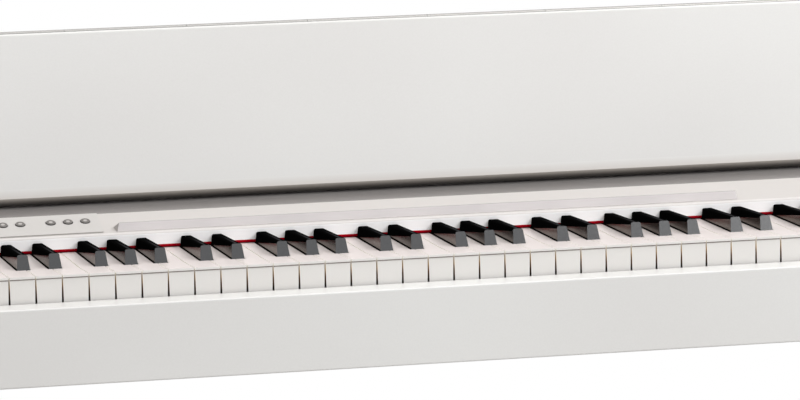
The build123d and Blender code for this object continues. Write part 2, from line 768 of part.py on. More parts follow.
# ---- Lid -------------------------------------------------------------------------------------------
# Leaf sections are drawn in a plane that leans with the open lid: first coordinate through the
# thickness, to the rear, and second coordinate up along the leaf, both from the lid's pivot axis.
lean_sine = math.sin(math.radians(lid_lean))
lean_cosine = math.cos(math.radians(lid_lean))
lid_half = inner_half - lid_side_gap
leaf_half = lid_thickness / 2
leaf_foot = -lid_pivot_from_foot
leaf_top = leaf_foot + rear_leaf_length
fold_front = leaf_half + leaf_gap
fold_rear = fold_front + lid_thickness
fold_end = leaf_top - front_leaf_length
hinge_through = leaf_half + leaf_gap / 2
hinge_up = leaf_top + seam_gap / 2


def lid_plane(x):
    """Section plane of the open lid at a given X."""
    return Plane(
        origin=(x, lid_pivot_y, lid_pivot_z), x_dir=(0, lean_cosine, -lean_sine), z_dir=(1, 0, 0)
    )


with BuildPart() as lid_rear_leaf:
    with BuildSketch(lid_plane(-lid_half)) as rear_leaf_section:
        with BuildLine():
            Polyline(
                (-leaf_half, leaf_foot),
                (leaf_half, leaf_foot),
                (leaf_half, leaf_top - seam_chamfer),
                (leaf_half - seam_chamfer, leaf_top),
                (-leaf_half, leaf_top),
                close=True,
            )
        make_face()
        face_corners = rear_leaf_section.vertices().group_by(Axis.X)[0].sort_by(Axis.Y)
        fillet(face_corners[0], radius=lid_foot_radius)
        fillet(rear_leaf_section.vertices().sort_by(Axis.Y).group_by(Axis.X)[0].sort_by(Axis.Y)[-1],
               radius=lid_edge_radius)
    extrude(amount=2 * lid_half)
    for side in (-1, 1):
        with BuildSketch(lid_plane(side * lid_half)):
            Circle(lid_pin_radius + shaft_gap)
        extrude(amount=-side * (lid_pin_in_leaf + shaft_gap), mode=Mode.SUBTRACT)
lid_rear_leaf.part.label = "lid_rear_leaf"
export_step(lid_rear_leaf.part, "parts/lid_rear_leaf.step")

with BuildPart() as lid_front_leaf:
    with BuildSketch(lid_plane(-lid_half)) as front_leaf_section:
        with BuildLine():
            Polyline(
                (fold_front, fold_end),
                (fold_front, leaf_top - seam_chamfer),
                (fold_front + seam_chamfer, leaf_top),
                (fold_rear, leaf_top),
                (fold_rear, fold_end + lip_thickness),
                (fold_rear + lip_drop, fold_end + lip_thickness),
                (fold_rear + lip_drop, fold_end),
                close=True,
            )
        make_face()
        outer_corners = front_leaf_section.vertices().group_by(Axis.Y)[0]
        fillet(outer_corners, radius=lid_edge_radius)
    extrude(amount=2 * lid_half)
lid_front_leaf.part.label = "lid_front_leaf"
export_step(lid_front_leaf.part, "parts/lid_front_leaf.step")

hinge_half = lid_half - hinge_end_margin
knuckle_pitch = 2 * hinge_half / hinge_knuckles
plate_end = hinge_up - hinge_barrel_radius - running_gap


def make_hinge_strip(first_knuckle, plate_start):
    """One leaf of the piano hinge: a long plate with every other knuckle of the barrel."""
    with BuildPart() as strip:
        with BuildSketch(lid_plane(-hinge_half)):
            with Locations((plate_start + hinge_plate_thickness / 2, plate_end - hinge_plate_width / 2)):
                Rectangle(hinge_plate_thickness, hinge_plate_width)
        extrude(amount=2 * hinge_half)
        for knuckle in range(first_knuckle, hinge_knuckles, 2):
            knuckle_x = -hinge_half + knuckle * knuckle_pitch + hinge_knuckle_gap / 2
            with BuildSketch(lid_plane(knuckle_x)):
                with Locations((plate_start + hinge_plate_thickness / 2, (plate_end + hinge_up) / 2)):
                    Rectangle(hinge_plate_thickness, hinge_up - plate_end)
                with Locations((hinge_through, hinge_up)):
                    Circle(hinge_barrel_radius)
                    Circle(hinge_pin_radius + shaft_gap, mode=Mode.SUBTRACT)
            extrude(amount=knuckle_pitch - hinge_knuckle_gap)
    return strip.part


rear_strip = make_hinge_strip(0, leaf_half)
front_strip = make_hinge_strip(1, fold_front - hinge_plate_thickness)

with BuildPart() as hinge_pin:
    with BuildSketch(lid_plane(-hinge_half)):
        with Locations((hinge_through, hinge_up)):
            Circle(hinge_pin_radius)
    extrude(amount=2 * hinge_half)

with BuildPart() as lid_hinge_rear:
    add([rear_strip, hinge_pin.part])
lid_hinge_rear.part.label = "lid_hinge_rear"
export_step(lid_hinge_rear.part, "parts/lid_hinge_rear.step")

front_strip.label = "lid_hinge_front"
export_step(front_strip, "parts/lid_hinge_front.step")

with BuildPart() as lid_pivot_pins:
    for side in (-1, 1):
        with BuildSketch(Plane.YZ.offset(side * (lid_half - lid_pin_in_leaf))):
            with Locations((lid_pivot_y, lid_pivot_z)):
                Circle(lid_pin_radius)
        extrude(amount=side * (lid_pin_in_leaf + lid_side_gap + lid_pin_in_side))
lid_pivot_pins.part.label = "lid_pivot_pins"
export_step(lid_pivot_pins.part, "parts/lid_pivot_pins.step")

# ---- Speakers, main board, headphone box -----------------------------------------------------------
speaker_height = chassis_bottom_z - keybed_top_z - speaker_headroom
with BuildPart() as speaker:
    with BuildSketch(Plane.XZ):
        with BuildLine():
            Polyline(
                (speaker_cone_radius, 0),
                (speaker_radius, 0),
                (speaker_radius, speaker_flange),
                (speaker_cone_radius + speaker_flange, speaker_flange),
                (speaker_magnet_radius, speaker_height - speaker_magnet_height),
                (speaker_magnet_radius, speaker_height),
                (0, speaker_height),
                (0, speaker_cone_depth),
                (speaker_magnet_radius / 2, speaker_cone_depth),
                close=True,
            )
        make_face()
    revolve(axis=Axis.Z)

with BuildPart() as speakers:
    for side in (-1, 1):
        add(speaker.part.moved(Location((side * speaker_x, speaker_y, keybed_top_z))))
speakers.part.label = "speakers"
export_step(speakers.part, "parts/speakers.step")

with BuildPart() as main_board:
    board_centre_z = (keybed_top_z + deck_bottom_z) / 2
    board_rear_y = rear_panel_front_y - main_board_post
    with BuildSketch(Plane.XZ.offset(-board_rear_y)):
        with Locations((0, board_centre_z)):
            Rectangle(main_board_width, main_board_height)
    extrude(amount=board_thickness)
    with BuildSketch(Plane.XZ.offset(-board_rear_y)):
        with Locations((0, board_centre_z)):
            with GridLocations(main_board_width - main_chip, main_board_height - main_chip, 2, 2):
                Circle(main_board_post / 2)
    extrude(amount=-main_board_post)
    with BuildSketch(Plane.XZ.offset(board_thickness - board_rear_y)):
        with Locations((0, board_centre_z)):
            with GridLocations(2 * main_chip, 1, 3, 1):
                Rectangle(main_chip, main_chip)
    extrude(amount=main_chip_height)
main_board.part.label = "main_board"
export_step(main_board.part, "parts/main_board.step")

with BuildPart() as headphone_box:
    box_front_y = body_front_y + jack_box_setback
    box_centre_x = jack_box_inset - inner_half + jack_box_width / 2
    jack_z = body_bottom_z - jack_box_height / 2
    with BuildSketch(Plane.XY.offset(body_bottom_z)):
        with Locations((box_centre_x, box_front_y + jack_box_depth / 2)):
            Rectangle(jack_box_width, jack_box_depth)
    extrude(amount=-jack_box_height)
    fillet(headphone_box.faces().sort_by(Axis.Z)[0].edges(), radius=jack_box_radius)
    with BuildSketch(Plane.XZ.offset(-box_front_y)):
        with Locations((box_centre_x, jack_z)):
            with GridLocations(jack_pitch, 1, 2, 1):
                Circle(jack_radius)
    extrude(amount=-jack_length, mode=Mode.SUBTRACT)
    with BuildSketch(Plane.XZ.offset(-box_front_y - jack_box_depth)):
        with Locations((box_centre_x, jack_z)):
            Circle(inlet_radius)
    extrude(amount=inlet_length, mode=Mode.SUBTRACT)
headphone_box.part.label = "headphone_box"
export_step(headphone_box.part, "parts/headphone_box.step")

# ---- Stand -----------------------------------------------------------------------------------------
leg_outer_x = outer_half
leg_inner_x = leg_outer_x - leg_thickness
leg_front_y = body_front_y + leg_front_inset
leg_rear_y = body_rear_y - leg_rear_inset
leg_depth = leg_rear_y - leg_front_y
leg_centre_y = leg_front_y + leg_depth / 2
back_board_centre_y = leg_rear_y - back_board_rear_inset - back_board_thickness / 2
back_board_top_z = body_bottom_z - back_board_drop
back_board_bottom_z = back_board_top_z - back_board_height
pedal_box_centre_y = leg_rear_y - pedal_box_rear_inset - pedal_box_depth / 2
pedal_box_front_y = pedal_box_centre_y - pedal_box_depth / 2
pedal_box_top_z = pedal_box_bottom_z + pedal_box_height
bolt_places = [
    (back_board_centre_y, back_board_bottom_z + board_bolt_inset),
    (back_board_centre_y, back_board_top_z - board_bolt_inset),
    (pedal_box_centre_y, pedal_box_bottom_z + box_bolt_inset),
    (pedal_box_centre_y, pedal_box_top_z - box_bolt_inset),
]
bolt_hole_length = bolt_length - leg_thickness

for side, side_name in ((-1, "left"), (1, "right")):
    with BuildPart() as foot:
        with BuildSketch(Plane.XY):
            with Locations((side * (leg_outer_x - foot_width / 2), 0)):
                RectangleRounded(foot_width, foot_depth, foot_end_radius)
        extrude(amount=foot_height)
        fillet(foot.faces().sort_by(Axis.Z)[-1].edges(), radius=foot_edge_radius)
    foot.part.label = f"foot_{side_name}"
    export_step(foot.part, f"parts/foot_{side_name}.step")

    with BuildPart() as leg:
        with BuildSketch(Plane.XY.offset(foot_height)):
            with Locations((side * (leg_outer_x - leg_thickness / 2), leg_centre_y)):
                RectangleRounded(leg_thickness, leg_depth, leg_edge_radius)
        extrude(amount=body_bottom_z - foot_height)
        with BuildSketch(Plane.YZ.offset(side * leg_outer_x)):
            with Locations(bolt_places):
                Circle(bolt_radius + shaft_gap)
        extrude(amount=-side * leg_thickness, mode=Mode.SUBTRACT)
        with BuildSketch(Plane.YZ.offset(side * leg_outer_x)):
            with Locations(bolt_places):
                Circle(bolt_head_radius + running_gap)
        extrude(amount=-side * bolt_head_height, mode=Mode.SUBTRACT)
    leg.part.label = f"leg_{side_name}"
    export_step(leg.part, f"parts/leg_{side_name}.step")

with BuildPart() as stand_back_board:
    with BuildSketch(Plane.XY.offset(back_board_bottom_z)):
        with Locations((0, back_board_centre_y)):
            Rectangle(2 * leg_inner_x, back_board_thickness)
    extrude(amount=back_board_top_z - back_board_bottom_z)
    for side in (-1, 1):
        with BuildSketch(Plane.YZ.offset(side * leg_inner_x)):
            with Locations(bolt_places[:2]):
                Circle(bolt_radius + shaft_gap)
        extrude(amount=-side * bolt_hole_length, mode=Mode.SUBTRACT)
stand_back_board.part.label = "stand_back_board"
export_step(stand_back_board.part, "parts/stand_back_board.step")

pedal_pivot_y = pedal_box_front_y + pedal_pivot_setback
pedal_pivot_z = (pedal_box_bottom_z + pedal_box_top_z) / 2
pedal_toe_y = pedal_box_front_y - pedal_reach
pedal_angle = math.asin(pedal_travel / (pedal_pivot_y - pedal_toe_y))
slot_drop = pedal_pivot_setback * math.tan(pedal_angle) + pedal_thickness / 2 + 2 * running_gap
slot_rise = pedal_thickness / 2 + 2 * running_gap
slot_side_gap = 2.0
slot_width = pedal_heel_width + 2 * slot_side_gap
pedal_columns = [-pedal_pitch, 0, pedal_pitch]

with BuildPart() as pedal_box:
    with BuildSketch(Plane.YZ.offset(-leg_inner_x)):
        with Locations((pedal_box_centre_y, pedal_pivot_z)):
            Rectangle(pedal_box_depth, pedal_box_height)
    extrude(amount=2 * leg_inner_x)
    fillet(pedal_box.faces().sort_by(Axis.Y)[0].edges().filter_by(Axis.X), radius=pedal_box_edge_radius)
    with BuildSketch(Plane.YZ.offset(-pedal_bay_width / 2)):
        with Locations((pedal_box_centre_y, pedal_pivot_z)):
            Rectangle(pedal_box_depth - 2 * pedal_box_wall, pedal_box_height - 2 * pedal_box_wall)
    extrude(amount=pedal_bay_width, mode=Mode.SUBTRACT)
    with BuildSketch(Plane.XZ.offset(-pedal_box_front_y)):
        with Locations([(x, pedal_pivot_z + (slot_rise - slot_drop) / 2) for x in pedal_columns]):
            Rectangle(slot_width, slot_rise + slot_drop)
    extrude(amount=-pedal_box_wall, mode=Mode.SUBTRACT)
    with BuildSketch(Plane.YZ):
        with Locations((pedal_pivot_y, pedal_pivot_z)):
            Circle(pedal_rod_radius + shaft_gap)
    extrude(amount=pedal_bay_width / 2 + pedal_box_wall, both=True, mode=Mode.SUBTRACT)
    with BuildSketch(Plane.XY.offset(pedal_box_bottom_z)):
        with Locations((0, pedal_box_centre_y)):
            Circle(adjuster_stem_radius + shaft_gap)
    extrude(amount=pedal_box_wall, mode=Mode.SUBTRACT)
    for side in (-1, 1):
        with BuildSketch(Plane.YZ.offset(side * leg_inner_x)):
            with Locations(bolt_places[2:]):
                Circle(bolt_radius + shaft_gap)
        extrude(amount=-side * bolt_hole_length, mode=Mode.SUBTRACT)
pedal_box.part.label = "pedal_box"
export_step(pedal_box.part, "parts/pedal_box.step")

with BuildPart() as pedal_rod:
    with BuildSketch(Plane.YZ):
        with Locations((pedal_pivot_y, pedal_pivot_z)):
            Circle(pedal_rod_radius)
    extrude(amount=pedal_bay_width / 2 + pedal_box_wall - running_gap, both=True)
pedal_rod.part.label = "pedal_rod"
export_step(pedal_rod.part, "parts/pedal_rod.step")

for pedal_name, pedal_x in zip(("soft_pedal", "sostenuto_pedal", "damper_pedal"), pedal_columns):
    toe_radius = pedal_toe_width / 2
    heel_half = pedal_heel_width / 2
    toe_centre_y = pedal_toe_y + toe_radius
    toe_left = (pedal_x - toe_radius, toe_centre_y)
    toe_right = (pedal_x + toe_radius, toe_centre_y)
    with BuildPart() as pedal:
        with BuildSketch(Plane.XY.offset(pedal_pivot_z - pedal_thickness / 2)):
            with BuildLine():
                Polyline(
                    toe_left,
                    (pedal_x - toe_radius, toe_centre_y + toe_radius),
                    (pedal_x - heel_half, pedal_box_front_y - toe_radius),
                    (pedal_x - heel_half, pedal_pivot_y),
                    (pedal_x + heel_half, pedal_pivot_y),
                    (pedal_x + heel_half, pedal_box_front_y - toe_radius),
                    (pedal_x + toe_radius, toe_centre_y + toe_radius),
                    toe_right,
                )
                RadiusArc(toe_right, toe_left, toe_radius)
            make_face()
        extrude(amount=pedal_thickness)
        fillet(pedal.faces().sort_by(Axis.Z)[-1].edges(), radius=pedal_edge_radius)
        with BuildSketch(Plane.YZ.offset(pedal_x)):
            with Locations((pedal_pivot_y, pedal_pivot_z)):
                Circle(pedal_boss_radius)
        extrude(amount=heel_half, both=True)
        with BuildSketch(Plane.YZ.offset(pedal_x)):
            with Locations((pedal_pivot_y, pedal_pivot_z)):
                Circle(pedal_rod_radius + shaft_gap)
        extrude(amount=heel_half, both=True, mode=Mode.SUBTRACT)
    pedal.part.label = pedal_name
    export_step(pedal.part, f"parts/{pedal_name}.step")

with BuildPart() as level_adjuster:
    with BuildSketch(Plane.XY):
        with Locations((0, pedal_box_centre_y)):
            Circle(adjuster_disc_radius)
    extrude(amount=adjuster_disc_height)
    fillet(level_adjuster.edges().sort_by(Axis.Z)[-1], radius=adjuster_edge_radius)
    with BuildSketch(Plane.XY.offset(adjuster_disc_height)):
        with Locations((0, pedal_box_centre_y)):
            Circle(adjuster_stem_radius)
    extrude(amount=pedal_box_bottom_z + pedal_box_wall + adjuster_stem_stand - adjuster_disc_height)
level_adjuster.part.label = "level_adjuster"
export_step(level_adjuster.part, "parts/level_adjuster.step")

with BuildPart() as stand_bolts:
    for side in (-1, 1):
        with BuildSketch(Plane.YZ.offset(side * (leg_outer_x - running_gap))):
            with Locations(bolt_places):
                Circle(bolt_head_radius)
        extrude(amount=-side * (bolt_head_height - running_gap))
        with BuildSketch(Plane.YZ.offset(side * (leg_outer_x - bolt_head_height))):
            with Locations(bolt_places):
                Circle(bolt_radius)
        extrude(amount=-side * (bolt_length - bolt_head_height - running_gap))
        with BuildSketch(Plane.YZ.offset(side * (leg_outer_x - running_gap))):
            with Locations(bolt_places):
                RegularPolygon(bolt_drive_size, 6)
        extrude(amount=-side * bolt_drive_depth, mode=Mode.SUBTRACT)
stand_bolts.part.label = "stand_bolts"
export_step(stand_bolts.part, "parts/stand_bolts.step")
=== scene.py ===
"""A slim digital piano on its stand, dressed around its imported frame.

Lengths are metres in the frame's own axes: +X to the player's right, +Y to the rear, +Z up. Each
sub-assembly is a class that builds its pieces around the frame's nodes, and each finish is a small
frozen class that makes one material.
"""

import sys

import json
import logging
import math
from dataclasses import dataclass
from enum import Enum
from typing import Callable, Iterable, Optional, Sequence

import bmesh
import bpy
from mathutils import Matrix, Vector

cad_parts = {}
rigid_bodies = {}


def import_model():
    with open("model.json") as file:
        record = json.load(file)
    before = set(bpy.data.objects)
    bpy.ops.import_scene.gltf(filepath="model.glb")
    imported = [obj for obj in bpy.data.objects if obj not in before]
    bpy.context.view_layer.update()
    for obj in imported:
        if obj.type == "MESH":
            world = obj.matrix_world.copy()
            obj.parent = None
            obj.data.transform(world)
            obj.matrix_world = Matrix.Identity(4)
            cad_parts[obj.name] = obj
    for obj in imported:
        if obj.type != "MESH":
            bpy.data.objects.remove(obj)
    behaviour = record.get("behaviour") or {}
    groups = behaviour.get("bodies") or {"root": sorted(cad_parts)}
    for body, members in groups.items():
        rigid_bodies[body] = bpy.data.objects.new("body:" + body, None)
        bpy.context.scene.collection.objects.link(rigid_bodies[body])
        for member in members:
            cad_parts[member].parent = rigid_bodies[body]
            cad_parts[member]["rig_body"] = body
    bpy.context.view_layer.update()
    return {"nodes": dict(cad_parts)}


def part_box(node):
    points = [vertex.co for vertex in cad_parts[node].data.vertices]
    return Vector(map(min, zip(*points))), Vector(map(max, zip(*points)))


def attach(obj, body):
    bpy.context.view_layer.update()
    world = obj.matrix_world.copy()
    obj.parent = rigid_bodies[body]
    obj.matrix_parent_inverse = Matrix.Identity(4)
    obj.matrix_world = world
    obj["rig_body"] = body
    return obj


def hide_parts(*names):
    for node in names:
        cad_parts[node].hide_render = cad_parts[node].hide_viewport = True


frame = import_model()
MM = 0.001
log = logging.getLogger("piano")

Tree, Node, Socket = bpy.types.NodeTree, bpy.types.Node, bpy.types.NodeSocket
Mesh, Face, Edge = bmesh.types.BMesh, bmesh.types.BMFace, bmesh.types.BMEdge

FACE_TURN = math.radians(35)        # two faces that meet at more than this have an edge between them
FLAT_TURN = math.radians(0.4)       # two faces that meet at less than this are one flat face
MERGE_GAP = 0.001 * MM              # corners closer than this are one corner
TOUCH = 0.01 * MM                   # heights closer than this are one height
HAIR = 0.1 * MM                     # less than any step in a piece's shape

# Shares of a face's normal along a direction: it looks that way exactly, squarely, mostly, partly or
# hardly at all.
EXACTLY, SQUARELY, MOSTLY, PARTLY, HARDLY = 0.99, 0.9, 0.6, 0.15, 0.05


class Slot(Enum):
    """The record's material slots."""

    LACQUER = "white_lacquer"
    PANEL = "white_panel"
    DECK = "grey_deck"
    PLATE = "plate_white"
    KEY_WHITE = "key_white"
    KEY_BLACK = "key_black"
    BUTTON = "button_grey"
    RED_FELT = "red_felt"
    BOARD = "circuit_board"
    STEEL = "steel"
    BRASS = "pedal_brass"
    BLACK = "black_plastic"


class Grain(Enum):
    """The axis along which rub marks or scratches run."""

    ALONG_X = 0
    ALONG_Y = 1
    ALONG_Z = 2


# ---- Colours and shader nodes ----------------------------------------------------------------------


def linear(code: str) -> tuple[float, float, float, float]:
    """Turns an sRGB colour into a linear one.

    Args:
        code: six hex digits, red first.

    Returns:
        Linear red, green, blue and an alpha of 1.
    """
    parts = [int(code[i : i + 2], 16) / 255 for i in (0, 2, 4)]
    red, green, blue = (c / 12.92 if c <= 0.04045 else ((c + 0.055) / 1.055) ** 2.4 for c in parts)
    return (red, green, blue, 1.0)


def adjust(node: Node, settings: dict) -> None:
    """Sets a node's properties, and then the plain values of its inputs.

    Args:
        node: the node.
        settings: the values; an input is named, or counted from 0.
    """
    inputs = {}
    for key, value in settings.items():
        if isinstance(key, str) and hasattr(node, key):
            setattr(node, key, value)
        else:
            inputs[key] = value
    for key, value in inputs.items():
        node.inputs[key].default_value = value


def add_node(tree: Tree, kind: str, settings: Optional[dict] = None, links: Optional[dict] = None) -> Node:
    """Adds a shader node.

    Args:
        tree: the node tree it goes into.
        kind: the node's type name, without the ShaderNode that all of them begin with.
        settings: values for its properties and inputs.
        links: for each input, the output that feeds it.

    Returns:
        The new node.
    """
    node = tree.nodes.new(f"ShaderNode{kind}")
    adjust(node, settings or {})
    for key, output in (links or {}).items():
        tree.links.new(output, node.inputs[key])
    return node


def empty_tree(owner: bpy.types.ID) -> Tree:
    """Returns the node tree of a material or a world, with nothing in it."""
    owner.use_nodes = True
    owner.node_tree.nodes.clear()
    return owner.node_tree


@dataclass
class Surface:
    """A material in the making: its nodes, its shader and the points of the piece that wears it."""

    tree: Tree
    shader: Node
    points: Socket

    def feed(self, socket: str, output: Socket) -> None:
        """Links an output to one of the shader's inputs."""
        self.tree.links.new(output, self.shader.inputs[socket])

    def imprint(
        self, pattern: Socket, tones: Sequence[str] = (), sheen: Sequence[float] = (), rise: float = 0.0
    ) -> None:
        """Lets a pattern show in the surface's tone, its sheen or its relief.

        Args:
            pattern: the pattern, from 0 to 1.
            tones: the colours at 0 and at 1.
            sheen: the roughness at 0 and at 1.
            rise: how far 1 stands above 0.
        """
        if tones:
            first, second = (linear(tone) for tone in tones)
            tone = add_node(self.tree, "Mix", {"data_type": "RGBA", 6: first, 7: second}, {0: pattern})
            self.feed("Base Color", tone.outputs[2])
        if sheen:
            gloss = add_node(self.tree, "MapRange", {"To Min": sheen[0], "To Max": sheen[1]}, {"Value": pattern})
            self.feed("Roughness", gloss.outputs[0])
        if rise:
            bump = add_node(self.tree, "Bump", {"Distance": rise, "Strength": 1.0}, {"Height": pattern})
            self.feed("Normal", bump.outputs["Normal"])

    def marks(self, width: float, length: float, grain: Grain = Grain.ALONG_Y, detail: float = 2.0) -> Socket:
        """Draws noise out along one axis, as rub marks and scratches are.

        Args:
            width: a mark's size across.
            length: its size along.
            grain: the axis along which it runs.
            detail: how many finer layers the noise has.

        Returns:
            The marks, from 0 to 1.
        """
        scale = [1 / width] * 3
        scale[grain.value] = 1 / length
        drawn = add_node(self.tree, "Mapping", {"Scale": scale}, {"Vector": self.points})
        noise = add_node(self.tree, "TexNoise", {"Scale": 1.0, "Detail": detail}, {"Vector": drawn.outputs[0]})
        return noise.outputs[0]

    def depth(self, top_z: float, deep_z: float) -> Socket:
        """Measures how deep a point is.

        Args:
            top_z: the height at and above which it is 0.
            deep_z: the height at and below which it is 1.

        Returns:
            The depth.
        """
        height = add_node(self.tree, "SeparateXYZ", links={0: self.points}).outputs["Z"]
        share = add_node(self.tree, "MapRange", {"From Min": top_z, "From Max": deep_z}, {"Value": height})
        return share.outputs[0]


# ---- Finishes --------------------------------------------------------------------------------------


@dataclass(frozen=True)
class Finish:
    """A material that is built once and then shared by every piece that wears it."""

    name: str
    colour: str
    roughness: float

    def material(self) -> bpy.types.Material:
        """Returns the finish's material, which is built at its first use."""
        made = bpy.data.materials.get(self.name)
        if made is None:
            made = bpy.data.materials.new(self.name)
            made.diffuse_color = linear(self.colour)
            tree = empty_tree(made)
            plain = {"Base Color": linear(self.colour), "Roughness": self.roughness}
            shader = add_node(tree, "BsdfPrincipled", plain)
            add_node(tree, "OutputMaterial", links={"Surface": shader.outputs["BSDF"]})
            self.dress(Surface(tree, shader, add_node(tree, "TexCoord").outputs["Object"]))
        return made

    def dress(self, surface: Surface) -> None:
        """Adds the finish's own pattern, relief and gloss to its plain shader."""
        raise NotImplementedError


@dataclass(frozen=True)
class Lacquer(Finish):
    """Sprayed lacquer on board: an even film with a faint ripple and a slow drift of tone."""

    shade: str = "E4E2DF"
    ripple: float = 2.6 * MM
    ripple_rise: float = 0.012 * MM
    drift: float = 260 * MM
    fleck: float = 1.7 * MM
    fleck_share: float = 0.35
    shade_range: tuple[float, float] = (0.45, 0.9)
    coat: float = 0.15
    coat_roughness: float = 0.18

    def dress(self, surface: Surface) -> None:
        """The ripple is the film's orange peel, and the flecks are dust nibs that catch the light.

        Args:
            surface: the material in the making.
        """
        tree, at = surface.tree, {"Vector": surface.points}
        slow = add_node(tree, "TexNoise", {"Scale": 1 / self.drift, "Detail": 1.0}, at)
        speck = add_node(tree, "TexNoise", {"Scale": 1 / self.fleck, "Detail": 2.0}, at)
        peel = add_node(tree, "TexNoise", {"Scale": 1 / self.ripple, "Detail": 1.5}, at)
        parts = {0: speck.outputs[0], 2: slow.outputs[0]}
        both = add_node(tree, "Math", {"operation": "MULTIPLY_ADD", 1: self.fleck_share}, parts)
        low, high = self.shade_range
        share = add_node(tree, "MapRange", {"From Min": low, "From Max": high}, {"Value": both.outputs[0]})
        surface.imprint(share.outputs[0], tones=(self.colour, self.shade))
        surface.imprint(peel.outputs[0], rise=self.ripple_rise)
        adjust(surface.shader, {"Coat Weight": self.coat, "Coat Roughness": self.coat_roughness})


@dataclass(frozen=True)
class Moulding(Finish):
    """Moulded plastic: the fine even grain of a spark-eroded tool, and a sheen that varies a little."""

    shade: str = "808080"
    grain: float = 0.9 * MM
    grain_rise: float = 0.02 * MM
    cloud: float = 60 * MM
    sheen: float = 0.05
    specular: float = 0.5

    def dress(self, surface: Surface) -> None:
        """Real grain is about 0.1 mm, and it is drawn coarser so that it shows.

        Args:
            surface: the material in the making.
        """
        at = {"Vector": surface.points}
        pits = add_node(surface.tree, "TexVoronoi", {"Scale": 1 / self.grain}, at)
        cloud = add_node(surface.tree, "TexNoise", {"Scale": 1 / self.cloud, "Detail": 3.0}, at)
        sheen = (self.roughness - self.sheen, self.roughness + self.sheen)
        surface.imprint(cloud.outputs[0], (self.colour, self.shade), sheen)
        surface.imprint(pits.outputs["Distance"], rise=self.grain_rise)
        adjust(surface.shader, {"Specular IOR Level": self.specular})


@dataclass(frozen=True)
class KeyTop(Finish):
    """Moulded key plastic: dense, smooth and a little warm, with hair-fine playing marks along the key."""

    shade: str = "E2DEDA"
    specular: float = 0.3
    mark_width: float = 0.5 * MM
    mark_length: float = 30 * MM
    mark_rise: float = 0.004 * MM
    cloud: float = 35 * MM
    smoother: float = 0.04
    rougher: float = 0.06

    def dress(self, surface: Surface) -> None:
        """Real marks are finer than they are drawn.

        Args:
            surface: the material in the making.
        """
        cloud = add_node(surface.tree, "TexNoise", {"Scale": 1 / self.cloud}, {"Vector": surface.points})
        surface.imprint(cloud.outputs[0], (self.colour, self.shade))
        sheen = (self.roughness - self.smoother, self.roughness + self.rougher)
        surface.imprint(surface.marks(self.mark_width, self.mark_length), sheen=sheen, rise=self.mark_rise)
        adjust(surface.shader, {"Specular IOR Level": self.specular})


@dataclass(frozen=True)
class KeyBlack(Finish):
    """Black key resin: either polished, or rubbed to a satin by playing."""

    specular: float = 0.5
    tint: str = "FFFFFF"
    mark_width: float = 0.6 * MM
    mark_length: float = 20 * MM
    mark_rise: float = 0.003 * MM
    spread: float = 0.2

    def dress(self, surface: Surface) -> None:
        """Faint rub marks run along the key.

        Args:
            surface: the material in the making.
        """
        sheen = (self.roughness * (1 - self.spread), self.roughness * (1 + self.spread))
        surface.imprint(surface.marks(self.mark_width, self.mark_length), sheen=sheen, rise=self.mark_rise)
        adjust(surface.shader, {"Specular IOR Level": self.specular, "Specular Tint": linear(self.tint)})


@dataclass(frozen=True)
class Graded(Finish):
    """A surface whose tone changes with height, as painted shade or a painted sheen streak."""

    tones: tuple[tuple[float, str], ...] = ()
    top_z: float = 0.0
    deep_z: float = 0.0
    specular: float = 0.5
    # The dust noise breaks up the painted gradient of shade or sheen.
    dust: float = 4 * MM
    unevenness: float = 0.12

    def dress(self, surface: Surface) -> None:
        """The colour is the tone at the top, and each of the tones is at its share of the way down.

        Args:
            surface: the material in the making.
        """
        tree, at = surface.tree, {"Vector": surface.points}
        dust = add_node(tree, "TexNoise", {"Scale": 1 / self.dust, "Detail": 3.0}, at)
        blur = {"operation": "MULTIPLY_ADD", 1: self.unevenness, "use_clamp": True}
        uneven = add_node(tree, "Math", blur, {0: dust.outputs[0], 2: surface.depth(self.top_z, self.deep_z)})
        tone = add_node(tree, "ValToRGB", links={0: uneven.outputs[0]})
        stops = tone.color_ramp.elements
        stops[0].color = linear(self.colour)
        stops.remove(stops[1])
        for place, code in self.tones:
            stops.new(place).color = linear(code)
        surface.feed("Base Color", tone.outputs[0])
        adjust(surface.shader, {"Specular IOR Level": self.specular})


@dataclass(frozen=True)
class Felt(Finish):
    """Pressed wool felt: matted fibres that scatter the light and give a soft pale edge."""

    shade: str = "500008"
    # The colour at deep_z, which is painted shade.
    deep: str = "500008"
    top_z: float = 0.0
    deep_z: float = 0.0
    fibre: float = 0.7 * MM
    tuft_rise: float = 0.3 * MM

    def dress(self, surface: Surface) -> None:
        """Fibres are about 0.03 mm thick, and they are drawn as tufts that can be seen.

        Args:
            surface: the material in the making.
        """
        tree, at = surface.tree, {"Vector": surface.points}
        tufts = add_node(tree, "TexNoise", {"Scale": 1 / self.fibre, "Detail": 4.0, "Distortion": 1.2}, at)
        surface.imprint(tufts.outputs[0], (self.shade, self.colour), rise=self.tuft_rise)
        # Painted shade: the wool darkens from top_z down to deep_z, towards the keys.
        if self.top_z > self.deep_z:
            wool = surface.shader.inputs["Base Color"].links[0].from_socket
            parts = {0: surface.depth(self.top_z, self.deep_z), 6: wool}
            tone = add_node(tree, "Mix", {"data_type": "RGBA", 7: linear(self.deep)}, parts)
            surface.feed("Base Color", tone.outputs[2])
        fuzz = {"Sheen Weight": 0.15, "Sheen Roughness": 0.5, "Sheen Tint": linear(self.colour)}
        adjust(surface.shader, {"Specular IOR Level": 0.0, **fuzz})


